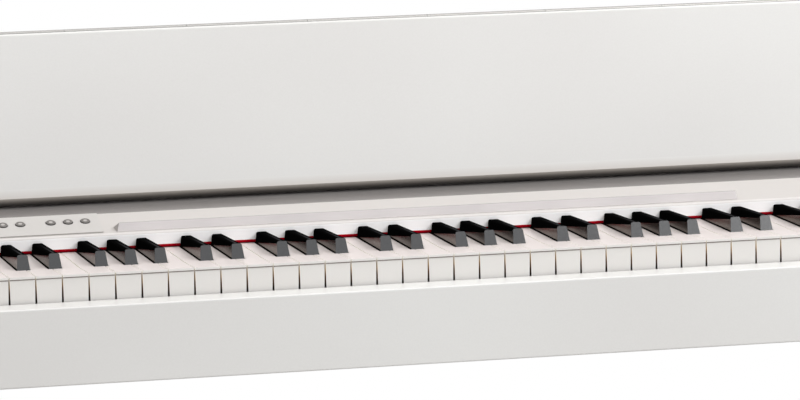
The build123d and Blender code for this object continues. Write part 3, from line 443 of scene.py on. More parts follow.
@dataclass(frozen=True)
class BrushedMetal(Finish):
    """Metal finished with a belt: fine scratches all run one way and stretch the highlights across them."""

    grain: Grain = Grain.ALONG_X
    scratch: float = 0.4 * MM
    scratch_length: float = 25 * MM
    scratch_rise: float = 0.01 * MM
    shade: str = "7A7874"
    spread: float = 0.3

    def dress(self, surface: Surface) -> None:
        """The scratches show in tone, sheen and relief.

        Args:
            surface: the material in the making.
        """
        lines = surface.marks(self.scratch, self.scratch_length, self.grain, 3.0)
        sheen = (self.roughness * (1 - self.spread), self.roughness * (1 + self.spread))
        surface.imprint(lines, (self.shade, self.colour), sheen, self.scratch_rise)
        adjust(surface.shader, {"Metallic": 1.0})


@dataclass(frozen=True)
class CircuitBoard(Finish):
    """Glass-epoxy board under green solder resist: copper runs show as paler lines through the resist."""

    track: str = "3F8F56"
    pad: str = "B9A66A"
    spacing: float = 5 * MM
    pad_size: float = 0.16
    pad_rise: float = 0.1 * MM

    def dress(self, surface: Surface) -> None:
        """Runs follow the joints of a brick pattern, and tinned pads sit at a cell pattern's centres.

        Args:
            surface: the material in the making.
        """
        tree, at = surface.tree, {"Vector": surface.points}
        resist = linear(self.colour)
        colours = {"Color1": resist, "Color2": resist, "Mortar": linear(self.track)}
        sizes = {"Scale": 1 / self.spacing, "Mortar Size": 0.06, "Brick Width": 2.6, "Row Height": 0.7}
        runs = add_node(tree, "TexBrick", {**colours, **sizes}, at)
        cells = add_node(tree, "TexVoronoi", {"Scale": 1 / self.spacing}, at)
        near = add_node(tree, "Math", {"operation": "LESS_THAN", 1: self.pad_size}, {0: cells.outputs["Distance"]})
        parts = {0: near.outputs[0], 6: runs.outputs["Color"]}
        tone = add_node(tree, "Mix", {"data_type": "RGBA", 7: linear(self.pad)}, parts)
        surface.feed("Base Color", tone.outputs[2])
        surface.imprint(near.outputs[0], rise=self.pad_rise)


# Lacquer sprayed on fibreboard: a soft even gloss, with reflections too blurred to read.
LACQUER = Lacquer("sprayed_white_lacquer", "E4E3E0", 0.38, shade="DEDCD9")
# Painted light: the lid's lacquer is a lighter copy of the cabinet's.
LID_LIT_LACQUER = Lacquer("lid_lacquer_painted_light", "E8E7E4", 0.38, shade="E2E0DD")
# The deck behind the panel: a grey gloss, darker and smoother than the lacquer, so it holds a calm reflection.
DECK = Lacquer("gloss_grey_deck", "8C8886", 0.22, shade="868280", coat=0.0, ripple_rise=0.003 * MM)
# Moulded ABS with a fine grain: nearly matt. The panel's slope, fascia and rounded edge are lit and shaded
# copies of one white: painted shade on the slope and the edge, painted light on the fascia.
PANEL = Moulding("moulded_panel_painted_shade", "C8C3BF", 0.5, shade="C5C0BC", specular=0.35)
FASCIA_LIT = Moulding("moulded_fascia_painted_light", "FFFEFD", 0.55, shade="FDFBFA", specular=0.35)
PANEL_EDGE_SHADED = Moulding("moulded_panel_edge_painted_shade", "DFDAD7", 0.6, shade="DBD6D3", specular=0.1)
LEDGE = Moulding("moulded_white_ledge", "F1EBEA", 0.45, shade="EEE8E7")
# Painted shade: the ledge's ridge is a fine grey line and its end faces are grey.
LEDGE_RIDGE_SHADE = Moulding("ledge_ridge_painted_shade", "B9B4B0", 0.5, shade="B4AFAB")
LEDGE_END_SHADE = Moulding("ledge_end_painted_shade", "BBB6B2", 0.5, shade="B6B1AD")
PLATE = Moulding("moulded_white_plate", "C4C0BC", 0.36, shade="C1BDB9", grain_rise=0.01 * MM)
# Moulded acrylic: the plates are smooth with a soft highlight, and their rims are the palest line. The tops
# are a darker copy of the plates' white: painted shade.
KEY_WHITE = KeyTop("moulded_white_key", "E3E1DD", 0.34)
KEY_TOP_SHADED = KeyTop("white_key_top_painted_shade", "E2D8D5", 0.34, shade="DED4D0")
# Painted highlight: the pale line on the plates' rounded front edge.
KEY_RIM_HIGHLIGHT = KeyTop("key_rim_painted_highlight", "FCFAF8", 0.3, shade="F6F4F1")
# Painted shadow: a dark band on the head just under the lip, where the lip's shade falls.
KEY_LIP_SHADOW = KeyTop("painted_lip_shadow", "97908B", 0.6, shade="8C8580")
# Bare key sides: painted shade in the gaps between the keys, pale at the top and browner and darker with depth.
KEY_FLANK = Graded(
    "key_flank_painted_gap_shade",
    "FFFDFA",
    0.6,
    tones=((0.16, "FFFAF0"), (0.42, "F6E0B8"), (0.68, "AE8864"), (1.0, "463026")),
    top_z=736.0 * MM,
    deep_z=713.0 * MM,
)
# Painted shade on the lid's lacquer where it turns under and on the last of its face above: it greys towards the gap
# behind the deck.
LID_FOOT = Graded(
    "shaded_lid_foot",
    "CCC6BE",
    0.5,
    tones=((0.35, "B0A9A1"), (0.7, "837E78"), (1.0, "5E5A56")),
    top_z=766.6 * MM,
    deep_z=760.4 * MM,
)
LID_SKIRT = Graded(
    "shaded_lid_skirt", "E8E7E4", 0.45, tones=((1.0, "D9D4CF"),), top_z=775.0 * MM, deep_z=767.0 * MM
)
# Black resin: satin where it is touched, with a paler streak along the top that is a painted sheen, and a warm gloss
# low on the sides.
KEY_SATIN = KeyBlack("satin_black_key", "070707", 0.5, specular=0.0)
KEY_GLOSS = KeyBlack("polished_black_side", "0E0B08", 0.24, specular=0.8, tint="FFDCB0")
KEY_FRONT = KeyBlack("polished_black_front", "1C1D20", 0.2, specular=1.0)
KEY_SHEEN_STREAK = Graded(
    "worn_black_streak",
    "424143",
    0.5,
    tones=((0.4, "2C2B2D"), (0.75, "101011"), (1.0, "070707")),
    top_z=748.0 * MM,
    deep_z=745.0 * MM,
    specular=0.0,
)
# ABS from a polished tool: hardly any grain. A painted highlight pales the dish in each cap, and painted shade turns
# the walls into dark rings.
BUTTON = Moulding("moulded_grey_button", "6E6965", 0.3, shade="66615D", grain_rise=0.002 * MM)
BUTTON_HIGHLIGHT = Moulding("button_dish_painted_highlight", "BCB7B3", 0.3, shade="B6B1AD", grain_rise=0.002 * MM)
BUTTON_WALL_SHADE = Moulding("button_wall_painted_shade", "3A3735", 0.45, shade="343130", grain_rise=0.002 * MM)
KNOB_MARK = Moulding("moulded_dark_mark", "4A4A4A", 0.5, shade="444444")
# Pressed wool: no gloss at all; the red one darkens towards the keys with painted shade.
RED_FELT = Felt(
    "pressed_red_felt_painted_shade", "CC0C24", 0.95, shade="980616", deep="720610", top_z=738.0 * MM, deep_z=735.6 * MM
)
GREY_FELT = Felt("pressed_grey_felt", "8A8A86", 0.95, shade="5C5C58")
# Belt-brushed steel and polished brass: the highlights are drawn out across the scratches.
STEEL = BrushedMetal("brushed_steel", "C4C6C8", 0.3)
STEEL_UP = BrushedMetal("brushed_bolt_steel", "A9ABAD", 0.32, grain=Grain.ALONG_Z)
HINGE = BrushedMetal("dull_hinge_steel", "A6A4A1", 0.42, shade="8E8C89")
BRASS = BrushedMetal("polished_brass", "D9B65A", 0.16, grain=Grain.ALONG_Y, scratch=0.5 * MM, shade="C29C43")
# Inner and lower parts: dark moulded plastic and rubber, a ribbed paper cone, and a resist-green board.
CHASSIS = Moulding("moulded_chassis", "3A3D40", 0.55, shade="2F3235")
BLACK = Moulding("moulded_black_plastic", "17181A", 0.5, shade="101113")
RUBBER = Moulding("moulded_black_rubber", "121212", 0.75, shade="1A1A1A")
PAPER = Moulding("pressed_paper_cone", "26262A", 0.85, shade="1E1E20", grain=2.2 * MM, grain_rise=0.15 * MM)
BOARD = CircuitBoard("green_circuit_board", "16502B", 0.35)


# ---- Meshes and pieces -----------------------------------------------------------------------------


def span(node: str) -> tuple[Vector, Vector, Vector]:
    """Returns a node's lowest corner, highest corner and middle."""
    low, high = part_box(node)
    return low, high, (low + high) / 2


def bare_copy(node: str) -> Mesh:
    """Copies a node's solids as clean meshes.

    Args:
        node: the node's name.

    Returns:
        A bmesh whose flat faces are single faces and whose corners are merged.
    """
    bm = bmesh.new()
    bm.from_mesh(frame["nodes"][node].data)
    bmesh.ops.remove_doubles(bm, verts=bm.verts[:], dist=MERGE_GAP)
    flatten(bm)
    return bm


def flatten(bm: Mesh) -> None:
    """Joins faces that lie in one plane."""
    bmesh.ops.dissolve_limit(bm, angle_limit=FLAT_TURN, verts=bm.verts[:], edges=bm.edges[:])


def block(low: Vector, high: Vector) -> Mesh:
    """Makes a plain board, ready to have its edges eased.

    Args:
        low: its lowest corner.
        high: its highest corner.

    Returns:
        The board.
    """
    bm = bmesh.new()
    bmesh.ops.create_cube(bm, size=1.0)
    bmesh.ops.scale(bm, vec=high - low, verts=bm.verts[:])
    bmesh.ops.translate(bm, vec=(low + high) / 2, verts=bm.verts[:])
    return bm


def turned(profile: Sequence[tuple[float, float]], steps: int, ring: bool = False) -> Mesh:
    """Turns a profile round the Z axis, as on a lathe.

    Args:
        profile: the radius and height of each corner.
        steps: faces round the turn.
        ring: whether the profile's last corner joins its first.

    Returns:
        The turned solid, with its axis through the origin.
    """
    bm = bmesh.new()
    verts = [bm.verts.new((radius, 0, height)) for radius, height in profile]
    pairs = list(zip(verts, verts[1:])) + ([(verts[-1], verts[0])] if ring else [])
    edges = [bm.edges.new(pair) for pair in pairs]
    bmesh.ops.spin(
        bm, geom=verts + edges, cent=(0, 0, 0), axis=(0, 0, 1), angle=2 * math.pi, steps=steps, use_merge=True
    )
    bmesh.ops.remove_doubles(bm, verts=bm.verts[:], dist=MERGE_GAP)
    bmesh.ops.recalc_face_normals(bm, faces=bm.faces[:])
    return bm


def as_mesh(bm: Mesh, name: str) -> bpy.types.Mesh:
    """Turns a bmesh into a named mesh; the bmesh is used up."""
    mesh = bpy.data.meshes.new(name)
    bm.to_mesh(mesh)
    bm.free()
    return mesh


def gathered(parts: Sequence[Mesh]) -> Mesh:
    """Puts several meshes into one.

    Args:
        parts: the meshes; they are used up.

    Returns:
        The one mesh.
    """
    whole = bmesh.new()
    for part in parts:
        mesh = as_mesh(part, "part")
        whole.from_mesh(mesh)
        bpy.data.meshes.remove(mesh)
    return whole


def score(bm: Mesh, point: Sequence[float], square_to: Sequence[float], faces: Iterable[Face] = ()) -> None:
    """Splits faces where a plane crosses them, and takes nothing away.

    Args:
        bm: the mesh.
        point: a point of the plane.
        square_to: the direction that the plane is square to.
        faces: the faces that may be split; all of them if it is left out.
    """
    chosen = list(faces) or bm.faces[:]
    verts = dict.fromkeys(v for f in chosen for v in f.verts)
    edges = dict.fromkeys(e for f in chosen for e in f.edges)
    bmesh.ops.bisect_plane(bm, geom=[*verts, *edges, *chosen], plane_co=point, plane_no=square_to)


def ease(bm: Mesh, radius: float, segments: int = 2, chosen: Optional[Callable[[Edge], bool]] = None) -> None:
    """Rounds the edges of a mesh.

    Args:
        bm: the mesh.
        radius: how far the rounding reaches from each edge.
        segments: steps across the rounding.
        chosen: says which of the sharp edges are rounded; all of them if it is left out.
    """
    sharp = [e for e in bm.edges if e.is_manifold and e.calc_face_angle(0) > FACE_TURN]
    bmesh.ops.bevel(
        bm,
        geom=[e for e in sharp if chosen is None or chosen(e)],
        offset=radius,
        offset_type="OFFSET",
        segments=segments,
        profile=0.5,
        affect="EDGES",
        clamp_overlap=True,
        material=-1,
    )


def paint(faces: Iterable[Face], finishes: Sequence[Finish], choose: Callable[[Face], Finish]) -> None:
    """Gives each face one of a piece's finishes.

    Args:
        faces: the faces.
        finishes: the piece's finishes.
        choose: says which of them a face gets.
    """
    for face in faces:
        face.material_index = finishes.index(choose(face))


def placed(name: str, data: bpy.types.ID) -> bpy.types.Object:
    """Puts a mesh, lamp or camera into the scene under a name."""
    thing = bpy.data.objects.new(name, data)
    bpy.context.scene.collection.objects.link(thing)
    return thing


def finished(
    bm: Mesh, node: str, finishes: Sequence[Finish], turn: float = FACE_TURN, extra: str = ""
) -> None:
    """Turns a mesh into a piece that rides with a node's body and is shown in the node's place.

    Args:
        bm: the mesh, in its place; it is used up.
        node: the node.
        finishes: the finishes, in the order of the faces' material numbers.
        turn: faces that meet at more than this have a crisp edge between them.
        extra: the piece's own name, if it is shown as well as the node and not in its place.
    """
    for face in bm.faces:
        face.smooth = True
    for edge in bm.edges:
        edge.smooth = not edge.is_manifold or edge.calc_face_angle(0) < turn
    name = extra or f"{node}_finished"
    mesh = as_mesh(bm, name)
    for finish in finishes:
        mesh.materials.append(finish.material())
    piece = placed(name, mesh)
    piece.modifiers.new("even_shading", "WEIGHTED_NORMAL").keep_sharp = True
    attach(piece, frame["nodes"][node]["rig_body"])
    if not extra:
        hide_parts(node)


def eased_board(node: str, finish: Finish, radius: float, segments: int = 2) -> None:
    """Shows a node as the same solid with its sharp edges eased.

    Args:
        node: the node's name.
        finish: its finish.
        radius: how far the edges are eased.
        segments: steps across the easing.
    """
    bm = bare_copy(node)
    ease(bm, radius, segments)
    finished(bm, node, [finish])


def dress_node(node: str, finish: Finish) -> None:
    """Gives a node that keeps its own shape a better material."""
    for slot in frame["nodes"][node].material_slots:
        slot.material = finish.material()
    log.info("%s: kept, finished as %s", node, finish.name)


# ---- Studio ----------------------------------------------------------------------------------------


@dataclass(frozen=True)
class SoftBox:
    """A lamp with a wide soft face."""

    name: str
    place: tuple[float, float, float]
    target: tuple[float, float, float]
    size: tuple[float, float]
    power: float
    tint: str = "FFFFFF"

    def hang(self) -> None:
        """Hangs the lamp so that it faces its target and the camera doesn't see it."""
        data = bpy.data.lights.new(self.name, "AREA")
        data.shape = "RECTANGLE"
        data.size, data.size_y = self.size
        data.energy = self.power
        data.color = linear(self.tint)[:3]
        lamp = placed(self.name, data)
        place = Vector(self.place)
        turn = (Vector(self.target) - place).to_track_quat("-Z", "Y").to_matrix().to_4x4()
        lamp.matrix_world = Matrix.Translation(place) @ turn
        lamp.visible_camera = False


KEYS = (0, -0.1, 0.74)              # the middle of the keyboard, which the lamps face


@dataclass
class Studio:
    """The camera, the floor, the plain white surroundings and the soft lamps."""

    lens: float = 218.25
    eye: tuple[float, float, float] = (-1.0876, -4.2554, 1.3923)
    azimuth: float = 14.177
    elevation: float = 8.118
    roll: float = -0.915
    farthest: float = 200.0
    floor_reach: float = 120.0
    shade_radius: float = 1.6
    white_radius: float = 2.9
    sky: float = 0.5
    boxes: tuple[SoftBox, ...] = (
        SoftBox("ceiling_box", (0.4, -0.7, 3.3), (0.4, -0.7, 0), (5.0, 3.6), 60.0),
        SoftBox("high_box", (2.6, -2.4, 3.4), KEYS, (2.4, 1.8), 90.0),
        SoftBox("low_box", (0.68, -3.1, 1.68), KEYS, (2.4, 1.2), 8.0, "E6F1FF"),
    )

    def camera(self) -> None:
        """Makes the camera from its heading: to the rear, turned to the right and tipped down."""
        data = bpy.data.cameras.new("camera")
        data.lens = self.lens
        data.clip_end = self.farthest
        camera = placed("camera", data)
        az, el, roll = (math.radians(a) for a in (self.azimuth, self.elevation, self.roll))
        ahead = Vector((math.sin(az) * math.cos(el), math.cos(az) * math.cos(el), -math.sin(el)))
        level = Vector((math.cos(az), -math.sin(az), 0))
        upright = level.cross(ahead)
        right = math.cos(roll) * level + math.sin(roll) * upright
        up = -math.sin(roll) * level + math.cos(roll) * upright
        turn = Matrix((right, up, -ahead)).transposed()
        camera.matrix_world = Matrix.Translation(self.eye) @ turn.to_4x4()
        bpy.context.scene.camera = camera

    def floor(self) -> None:
        """Lays a pale floor that keeps the shadow and turns to plain white away from the piano."""
        bm = bmesh.new()
        bmesh.ops.create_circle(bm, cap_ends=True, segments=64, radius=self.floor_reach)
        floor = placed("floor", as_mesh(bm, "floor"))
        material = bpy.data.materials.new("pale_floor")
        tree = empty_tree(material)
        seen = self.seen_directly(tree)
        tones = {"data_type": "RGBA", 6: linear("C8C6C4"), 7: linear("E6E4E2")}
        tone = add_node(tree, "Mix", tones, {0: seen})
        matt = add_node(tree, "BsdfDiffuse", links={"Color": tone.outputs[2]})
        glow = add_node(tree, "Emission", {"Color": linear("FFFFFF"), "Strength": 1.0})
        points = add_node(tree, "TexCoord").outputs["Object"]
        away = add_node(tree, "VectorMath", {"operation": "LENGTH"}, {0: points})
        fade = {"interpolation_type": "SMOOTHSTEP", "From Min": self.shade_radius, "From Max": self.white_radius}
        far = add_node(tree, "MapRange", fade, {"Value": away.outputs["Value"]})
        share = add_node(tree, "Math", {"operation": "MULTIPLY"}, {0: far.outputs[0], 1: seen})
        parts = {0: share.outputs[0], 1: matt.outputs[0], 2: glow.outputs[0]}
        mixed = add_node(tree, "MixShader", links=parts)
        add_node(tree, "OutputMaterial", links={"Surface": mixed.outputs[0]})
        floor.data.materials.append(material)

    @staticmethod
    def seen_directly(tree: Tree) -> Socket:
        """Tells what is looked at from what only gives light.

        Args:
            tree: the node tree that asks.

        Returns:
            An output that is 1 for what the camera, a gloss or a clear piece sees, and else 0.
        """
        path = add_node(tree, "LightPath")
        seen = path.outputs["Is Camera Ray"]
        for ray in ("Is Glossy Ray", "Is Transmission Ray"):
            seen = add_node(tree, "Math", {"operation": "MAXIMUM"}, {0: seen, 1: path.outputs[ray]}).outputs[0]
        return seen

    def surroundings(self) -> None:
        """Lights the room evenly and shows plain white behind the piano."""
        world = bpy.data.worlds.new("studio")
        tree = empty_tree(world)
        soft = add_node(tree, "Background", {"Color": linear("FFFFFF"), "Strength": self.sky})
        white = add_node(tree, "Background", {"Color": linear("FFFFFF"), "Strength": 1.0})
        parts = {0: self.seen_directly(tree), 1: soft.outputs[0], 2: white.outputs[0]}
        mixed = add_node(tree, "MixShader", links=parts)
        add_node(tree, "OutputWorld", links={"Surface": mixed.outputs[0]})
        bpy.context.scene.world = world

    def build(self) -> None:
        """Sets up the studio."""
        self.camera()
        self.floor()
        self.surroundings()
        for box in self.boxes:
            box.hang()
        bpy.context.scene.view_settings.view_transform = "Standard"
        log.info("studio: camera, floor and lamps are up")


# ---- Keyboard --------------------------------------------------------------------------------------


@dataclass
class Keyboard:
    """The 88 keys with their felt strip and the chassis that carries them.

    A white key's plate has a lip with a band of painted shadow under it, its head narrows by the draft
    on each side, and its top dips where the black keys begin. The polish on a black key's side ends at
    a line that passes polish_rise above the felt's foot under the panel's front, and climbs by
    polish_slope of each length towards the player. In a thin band at its foot the side is satin again,
    a painted shadow.
    """

    white_edge: float = 1.1 * MM
    lip: float = 2.0 * MM
    plate: float = 3.0 * MM
    lip_shadow_height: float = 1.2 * MM
    head: float = 12.0 * MM
    draft: float = 0.4 * MM
    dip: float = 0.85 * MM
    top_turn: float = 0.7
    black_edge: float = 1.5 * MM
    black_rim: float = 0.8 * MM
    shoulder: float = 20.0 * MM
    top_area: float = 300.0 * MM * MM
    streak_inset: float = 3.0 * MM
    front_turn: float = 0.85
    foot_shadow_band: float = 0.7 * MM
    polish_rise: float = -0.5 * MM
    polish_slope: float = 0.131
    crease: float = math.radians(9)

    def white_key(self, node: str, notch: float) -> None:
        """Drafts and rounds white keys, paints a shadow under the lip and a highlight on the rim of their plates, and
        paints shade down their flanks.

        Args:
            node: a white key or a group of them.
            notch: how far to the rear the black keys' notches begin.
        """
        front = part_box(node)[0].y + self.lip
        bm = bare_copy(node)
        below = [f for f in bm.faces if f.normal.z < -SQUARELY and f.calc_center_median().y < front]
        under_lip = max(v.co.z for f in below for v in f.verts)
        lip_shadow_foot = under_lip - self.lip_shadow_height
        self.wear(bm, notch)
        for face in [f for f in bm.faces if abs(f.normal.x) > SQUARELY]:
            for vert in face.verts:
                if vert.co.z < under_lip - self.head and vert.co.y < notch - MM:
                    vert.co.x -= math.copysign(self.draft, face.normal.x)
        bm.normal_update()
        heads = [f for f in bm.faces if f.normal.y < -SQUARELY and f.calc_center_median().z < under_lip]
        sides = [f for f in bm.faces if abs(f.normal.x) > SQUARELY]
        score(bm, (0, 0, lip_shadow_foot), (0, 0, 1), heads + sides)

        def plays(edge: Edge) -> bool:
            """Whether an edge is on the top's rim or down the head's front corners."""
            a, b = (v.co for v in edge.verts)
            corner = max(a.y, b.y) < front and abs(a.z - b.z) > abs(a.x - b.x)
            return corner or any(f.normal.z > SQUARELY for f in edge.link_faces)

        def finish(face: Face) -> Finish:
            """Painted shade on the flank, painted shadow under the lip, painted highlight on the rim, painted shade on
            the top, or the plain plate, whichever comes first.
            """
            _, y, z = face.normal
            if abs(face.normal.x) > MOSTLY or z < -SQUARELY or y > SQUARELY:
                return KEY_FLANK
            if y < -MOSTLY and lip_shadow_foot < face.calc_center_median().z < under_lip:
                return KEY_LIP_SHADOW
            if y < -PARTLY and z > PARTLY:
                return KEY_RIM_HIGHLIGHT
            return KEY_TOP_SHADED if z > self.top_turn else KEY_WHITE

        ease(bm, self.white_edge, 3, plays)
        finishes = [KEY_WHITE, KEY_FLANK, KEY_LIP_SHADOW, KEY_TOP_SHADED, KEY_RIM_HIGHLIGHT]
        paint(bm.faces, finishes, finish)
        finished(bm, node, finishes)

    def wear(self, bm: Mesh, notch: float) -> None:
        """Lowers the top a little where the black keys' notches begin.

        Args:
            bm: the white keys.
            notch: how far to the rear the notches begin.
        """
        tops = [f for f in bm.faces if f.normal.z > SQUARELY]
        level = max(v.co.z for f in tops for v in f.verts) - self.plate
        score(bm, (0, notch, 0), (0, 1, 0), [f for f in tops if min(v.co.z for v in f.verts) > level])
        for vert in bm.verts:
            if vert.co.z > level and abs(vert.co.y - notch) < TOUCH:
                vert.co.z -= self.dip
        bm.normal_update()

    def black_key(self, node: str, level: float, polish_end: Vector) -> None:
        """Rounds black keys, polishes their fronts and the lower front of their sides, and paints a sheen streak on
        the tops.

        Args:
            node: a black key or a group of them.
            level: the height of the felt's foot, just above the white keys.
            polish_end: a point of the line that the polish on the sides ends at.
        """
        finishes = [KEY_GLOSS, KEY_SATIN, KEY_FRONT, KEY_SHEEN_STREAK]
        across = Vector((0, self.polish_slope, 1)).normalized()
        # A satin band at the foot of each side, without the side's reflection, is a painted shadow.
        foot = level + self.foot_shadow_band
        bm = bare_copy(node)

        def above(edge: Edge) -> bool:
            """Whether an edge stands above the white keys."""
            heights = [v.co.z - level for v in edge.verts]
            return min(heights) > -MM and max(heights) > MM

        def along(edge: Edge) -> bool:
            """Whether an edge runs along the top of a side."""
            a, b = (v.co for v in edge.verts)
            return above(edge) and abs(a.y - b.y) > self.shoulder

        def finish(face: Face) -> Finish:
            """Satin, but polished on the front and low on the sides above a satin band at the foot, which is a painted
            shadow.
            """
            middle = face.calc_center_median()
            if face.normal.y < -self.front_turn:
                return KEY_FRONT
            side = abs(face.normal.x) > SQUARELY and middle.z > foot
            return KEY_GLOSS if side and (middle - polish_end).dot(across) <= 0 else KEY_SATIN

        ease(bm, self.black_edge, 6, along)
        ease(bm, self.black_rim, 2, above)
        # The inset middle of each top carries a painted sheen streak.
        tops = [f for f in bm.faces if f.normal.z > SQUARELY and f.calc_area() > self.top_area]
        bmesh.ops.inset_individual(bm, faces=tops, thickness=self.streak_inset)
        paint(bm.faces, finishes, lambda face: KEY_GLOSS)
        paint(tops, finishes, lambda face: KEY_SHEEN_STREAK)
        score(bm, polish_end, across)
        score(bm, (0, 0, foot), (0, 0, 1))
        worn = finishes.index(KEY_SHEEN_STREAK)
        paint([f for f in bm.faces if f.material_index != worn], finishes, finish)
        finished(bm, node, finishes, self.crease)

    def build(self) -> None:
        """Builds the keyboard."""
        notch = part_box("black_key_c_sharp4")[0].y - MM
        for node in sorted(n for n in frame["nodes"] if n.startswith("white_key")):
            self.white_key(node, notch)
        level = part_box("red_felt_strip")[0].z
        polish_end = Vector((0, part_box("control_panel")[0].y, level + self.polish_rise))
        for node in sorted(n for n in frame["nodes"] if n.startswith("black_key")):
            self.black_key(node, level, polish_end)
        eased_board("red_felt_strip", RED_FELT, 0.6 * MM, 3)
        dress_node("key_stop_felt", GREY_FELT)
        dress_node("key_chassis", CHASSIS)
        dress_node("key_pivot_rod", STEEL)
        dress_node("contact_board", BOARD)


# ---- Cabinet ---------------------------------------------------------------------------------------


@dataclass
class Cabinet:
    """The lacquered boards of the body."""

    board_round: float = 1.2 * MM
    rail_round: float = 1.6 * MM
    deck_round: float = 0.8 * MM
    deck_thickness: float = 10.0 * MM
    upstand: float = 3.0 * MM
    deck_rise: float = 1.9 * MM

    def front_rail(self) -> None:
        """The rail's two front edges are rounded a little more than the rest."""
        low, high, _ = span("front_rail")
        bm = block(low, high)

        def front(edge: Edge) -> bool:
            """Whether an edge runs along the rail's front."""
            a, b = (v.co for v in edge.verts)
            return max(a.y, b.y) < low.y + MM and abs(a.z - b.z) < MM

        ease(bm, self.rail_round, 4, front)
        finished(bm, "front_rail", [LACQUER])

    def rear_deck(self) -> None:
        """The deck's top runs up a little to its upstand, so that little light gets under the lid's foot."""
        bm = bare_copy("rear_deck")
        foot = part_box("rear_deck")[1].y - self.upstand - MM
        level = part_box("rear_panel")[1].z + self.deck_thickness
        for vert in bm.verts:
            if abs(vert.co.z - level) < TOUCH and vert.co.y > foot:
                vert.co.z += self.deck_rise
        bm.normal_update()
        ease(bm, self.deck_round)
        finished(bm, "rear_deck", [DECK])

    def build(self) -> None:
        """Builds the body's boards."""
        self.front_rail()
        for node in ("side_panel_left", "side_panel_right", "cheek_blocks", "rear_panel", "keybed"):
            eased_board(node, LACQUER, self.board_round, 3)
        self.rear_deck()


# ---- Control panel ---------------------------------------------------------------------------------


@dataclass
class ControlPanel:
    """The moulded panel behind the keys with its plate, buttons, knob and ledge.

    The turns are shares of a face's normal: to the front for fascia and edge, sideways for an end. They choose where
    light and shade are painted.
    """

    panel_round: float = 0.5 * MM
    fascia_turn: float = 0.97
    edge_turn: float = 0.42
    end_splay: float = 2.8 * MM
    end_turn: float = 0.5
    slope: float = math.radians(19.4)
    button_round: float = 0.3 * MM
    dish: float = 1.8 * MM
    dish_depth: float = 0.2 * MM
    knob_height: float = 2.6 * MM
    flute: float = 0.3 * MM
    flute_rim: float = 0.12 * MM
    flute_area: float = 8.0 * MM * MM
    flute_reach: float = 0.8

    @property
    def out(self) -> Vector:
        """The direction that is square to the panel's slope."""
        return Vector((0, -math.sin(self.slope), math.cos(self.slope)))

    def profile(self) -> None:
        """Shows the panel's long profile, with painted light on its upright fascia and painted shade on its slope and
        the rounding between.
        """
        bm = bare_copy("control_panel")
        ease(bm, self.panel_round)

        def finish(face: Face) -> Finish:
            """Painted light on the fascia, painted shade on the rounding above it, or painted shade on the slope."""
            ahead = -face.normal.y
            return FASCIA_LIT if ahead > self.fascia_turn else PANEL_EDGE_SHADED if ahead > self.edge_turn else PANEL

        finishes = [PANEL, FASCIA_LIT, PANEL_EDGE_SHADED]
        paint(bm.faces, finishes, finish)
        finished(bm, "control_panel", finishes)

    def ledge(self) -> None:
        """The ledge's end faces are turned out a little, and its ridge and its ends carry painted shade, greyer than
        the ledge.
        """
        bm = bare_copy("music_ledge")
        _, high, middle = span("music_ledge")
        for vert in bm.verts:
            if vert.co.y > high.y - MM:
                vert.co.x += math.copysign(self.end_splay, vert.co.x - middle.x)
        bm.normal_update()
        ease(bm, self.panel_round)

        def finish(face: Face) -> Finish:
            """Painted shade on an end or on the ridge, or the plain ledge."""
            if abs(face.normal.x) > self.end_turn:
                return LEDGE_END_SHADE
            return LEDGE_RIDGE_SHADE if min(face.normal.z, -face.normal.y) > PARTLY else LEDGE

        finishes = [LEDGE, LEDGE_RIDGE_SHADE, LEDGE_END_SHADE]
        paint(bm.faces, finishes, finish)
        finished(bm, "music_ledge", finishes)

    def button(self, node: str) -> None:
        """Dishes a button's cap with a painted highlight in it, and paints shade on its wall.

        Args:
            node: the button's node.
        """
        out = self.out
        bm = bare_copy(node)
        ease(bm, self.button_round)
        highest = max(v.co.dot(out) for v in bm.verts)
        flat = [f for f in bm.faces if f.normal.dot(out) > EXACTLY]
        caps = [f for f in flat if f.calc_center_median().dot(out) > highest - HAIR]
        finishes = [BUTTON_HIGHLIGHT, BUTTON, BUTTON_WALL_SHADE]
        paint(bm.faces, finishes, lambda face: BUTTON if face.normal.dot(out) > MOSTLY else BUTTON_WALL_SHADE)
        paint(caps, finishes, lambda face: BUTTON_HIGHLIGHT)
        ring = bmesh.ops.inset_region(bm, faces=caps, thickness=self.dish, depth=-self.dish_depth)
        paint(ring["faces"], finishes, lambda face: BUTTON)
        bm.normal_update()
        finished(bm, node, finishes)

    def knob(self) -> None:
        """Fluted round its side, with a dark line in the groove that points to the setting."""
        out = self.out
        bm = bare_copy("volume_knob")
        low, high, middle = span("volume_knob")
        radius = (high.x - low.x) / 2
        top = max((v.co.copy() for v in bm.verts), key=lambda co: co.dot(out))
        crown = Vector((middle.x, middle.y, top.z))

        def drop(face: Face) -> float:
            """How far a face's middle is below the top."""
            return top.dot(out) - face.calc_center_median().dot(out)

        def fluted(face: Face) -> bool:
            """Whether a face is one of the narrow ones round the side."""
            wall = abs(face.normal.dot(out)) < HARDLY and drop(face) < self.knob_height
            reach = (face.calc_center_median() - crown).length
            return wall and face.calc_area() < self.flute_area and reach > self.flute_reach * radius

        def finish(face: Face) -> Finish:
            """The groove's floor is dark."""
            groove = HAIR < drop(face) < MM and face.normal.dot(out) > EXACTLY
            return KNOB_MARK if groove else BUTTON

        flutes = [f for f in bm.faces if fluted(f)]
        bmesh.ops.inset_individual(bm, faces=flutes, thickness=self.flute_rim, depth=-self.flute)
        finishes = [BUTTON, KNOB_MARK]
        paint(bm.faces, finishes, finish)
        bm.normal_update()
        finished(bm, "volume_knob", finishes)

    def build(self) -> None:
        """Builds the panel and what is on it."""
        self.profile()
        eased_board("button_plate", PLATE, 0.35 * MM)
        self.ledge()
        names = [n for n in frame["nodes"] if n.startswith(("tone_button", "function_button"))]
        for node in sorted(names) + ["power_button"]:
            self.button(node)
        self.knob()
        dress_node("panel_board", BOARD)


# ---- Lid -------------------------------------------------------------------------------------------


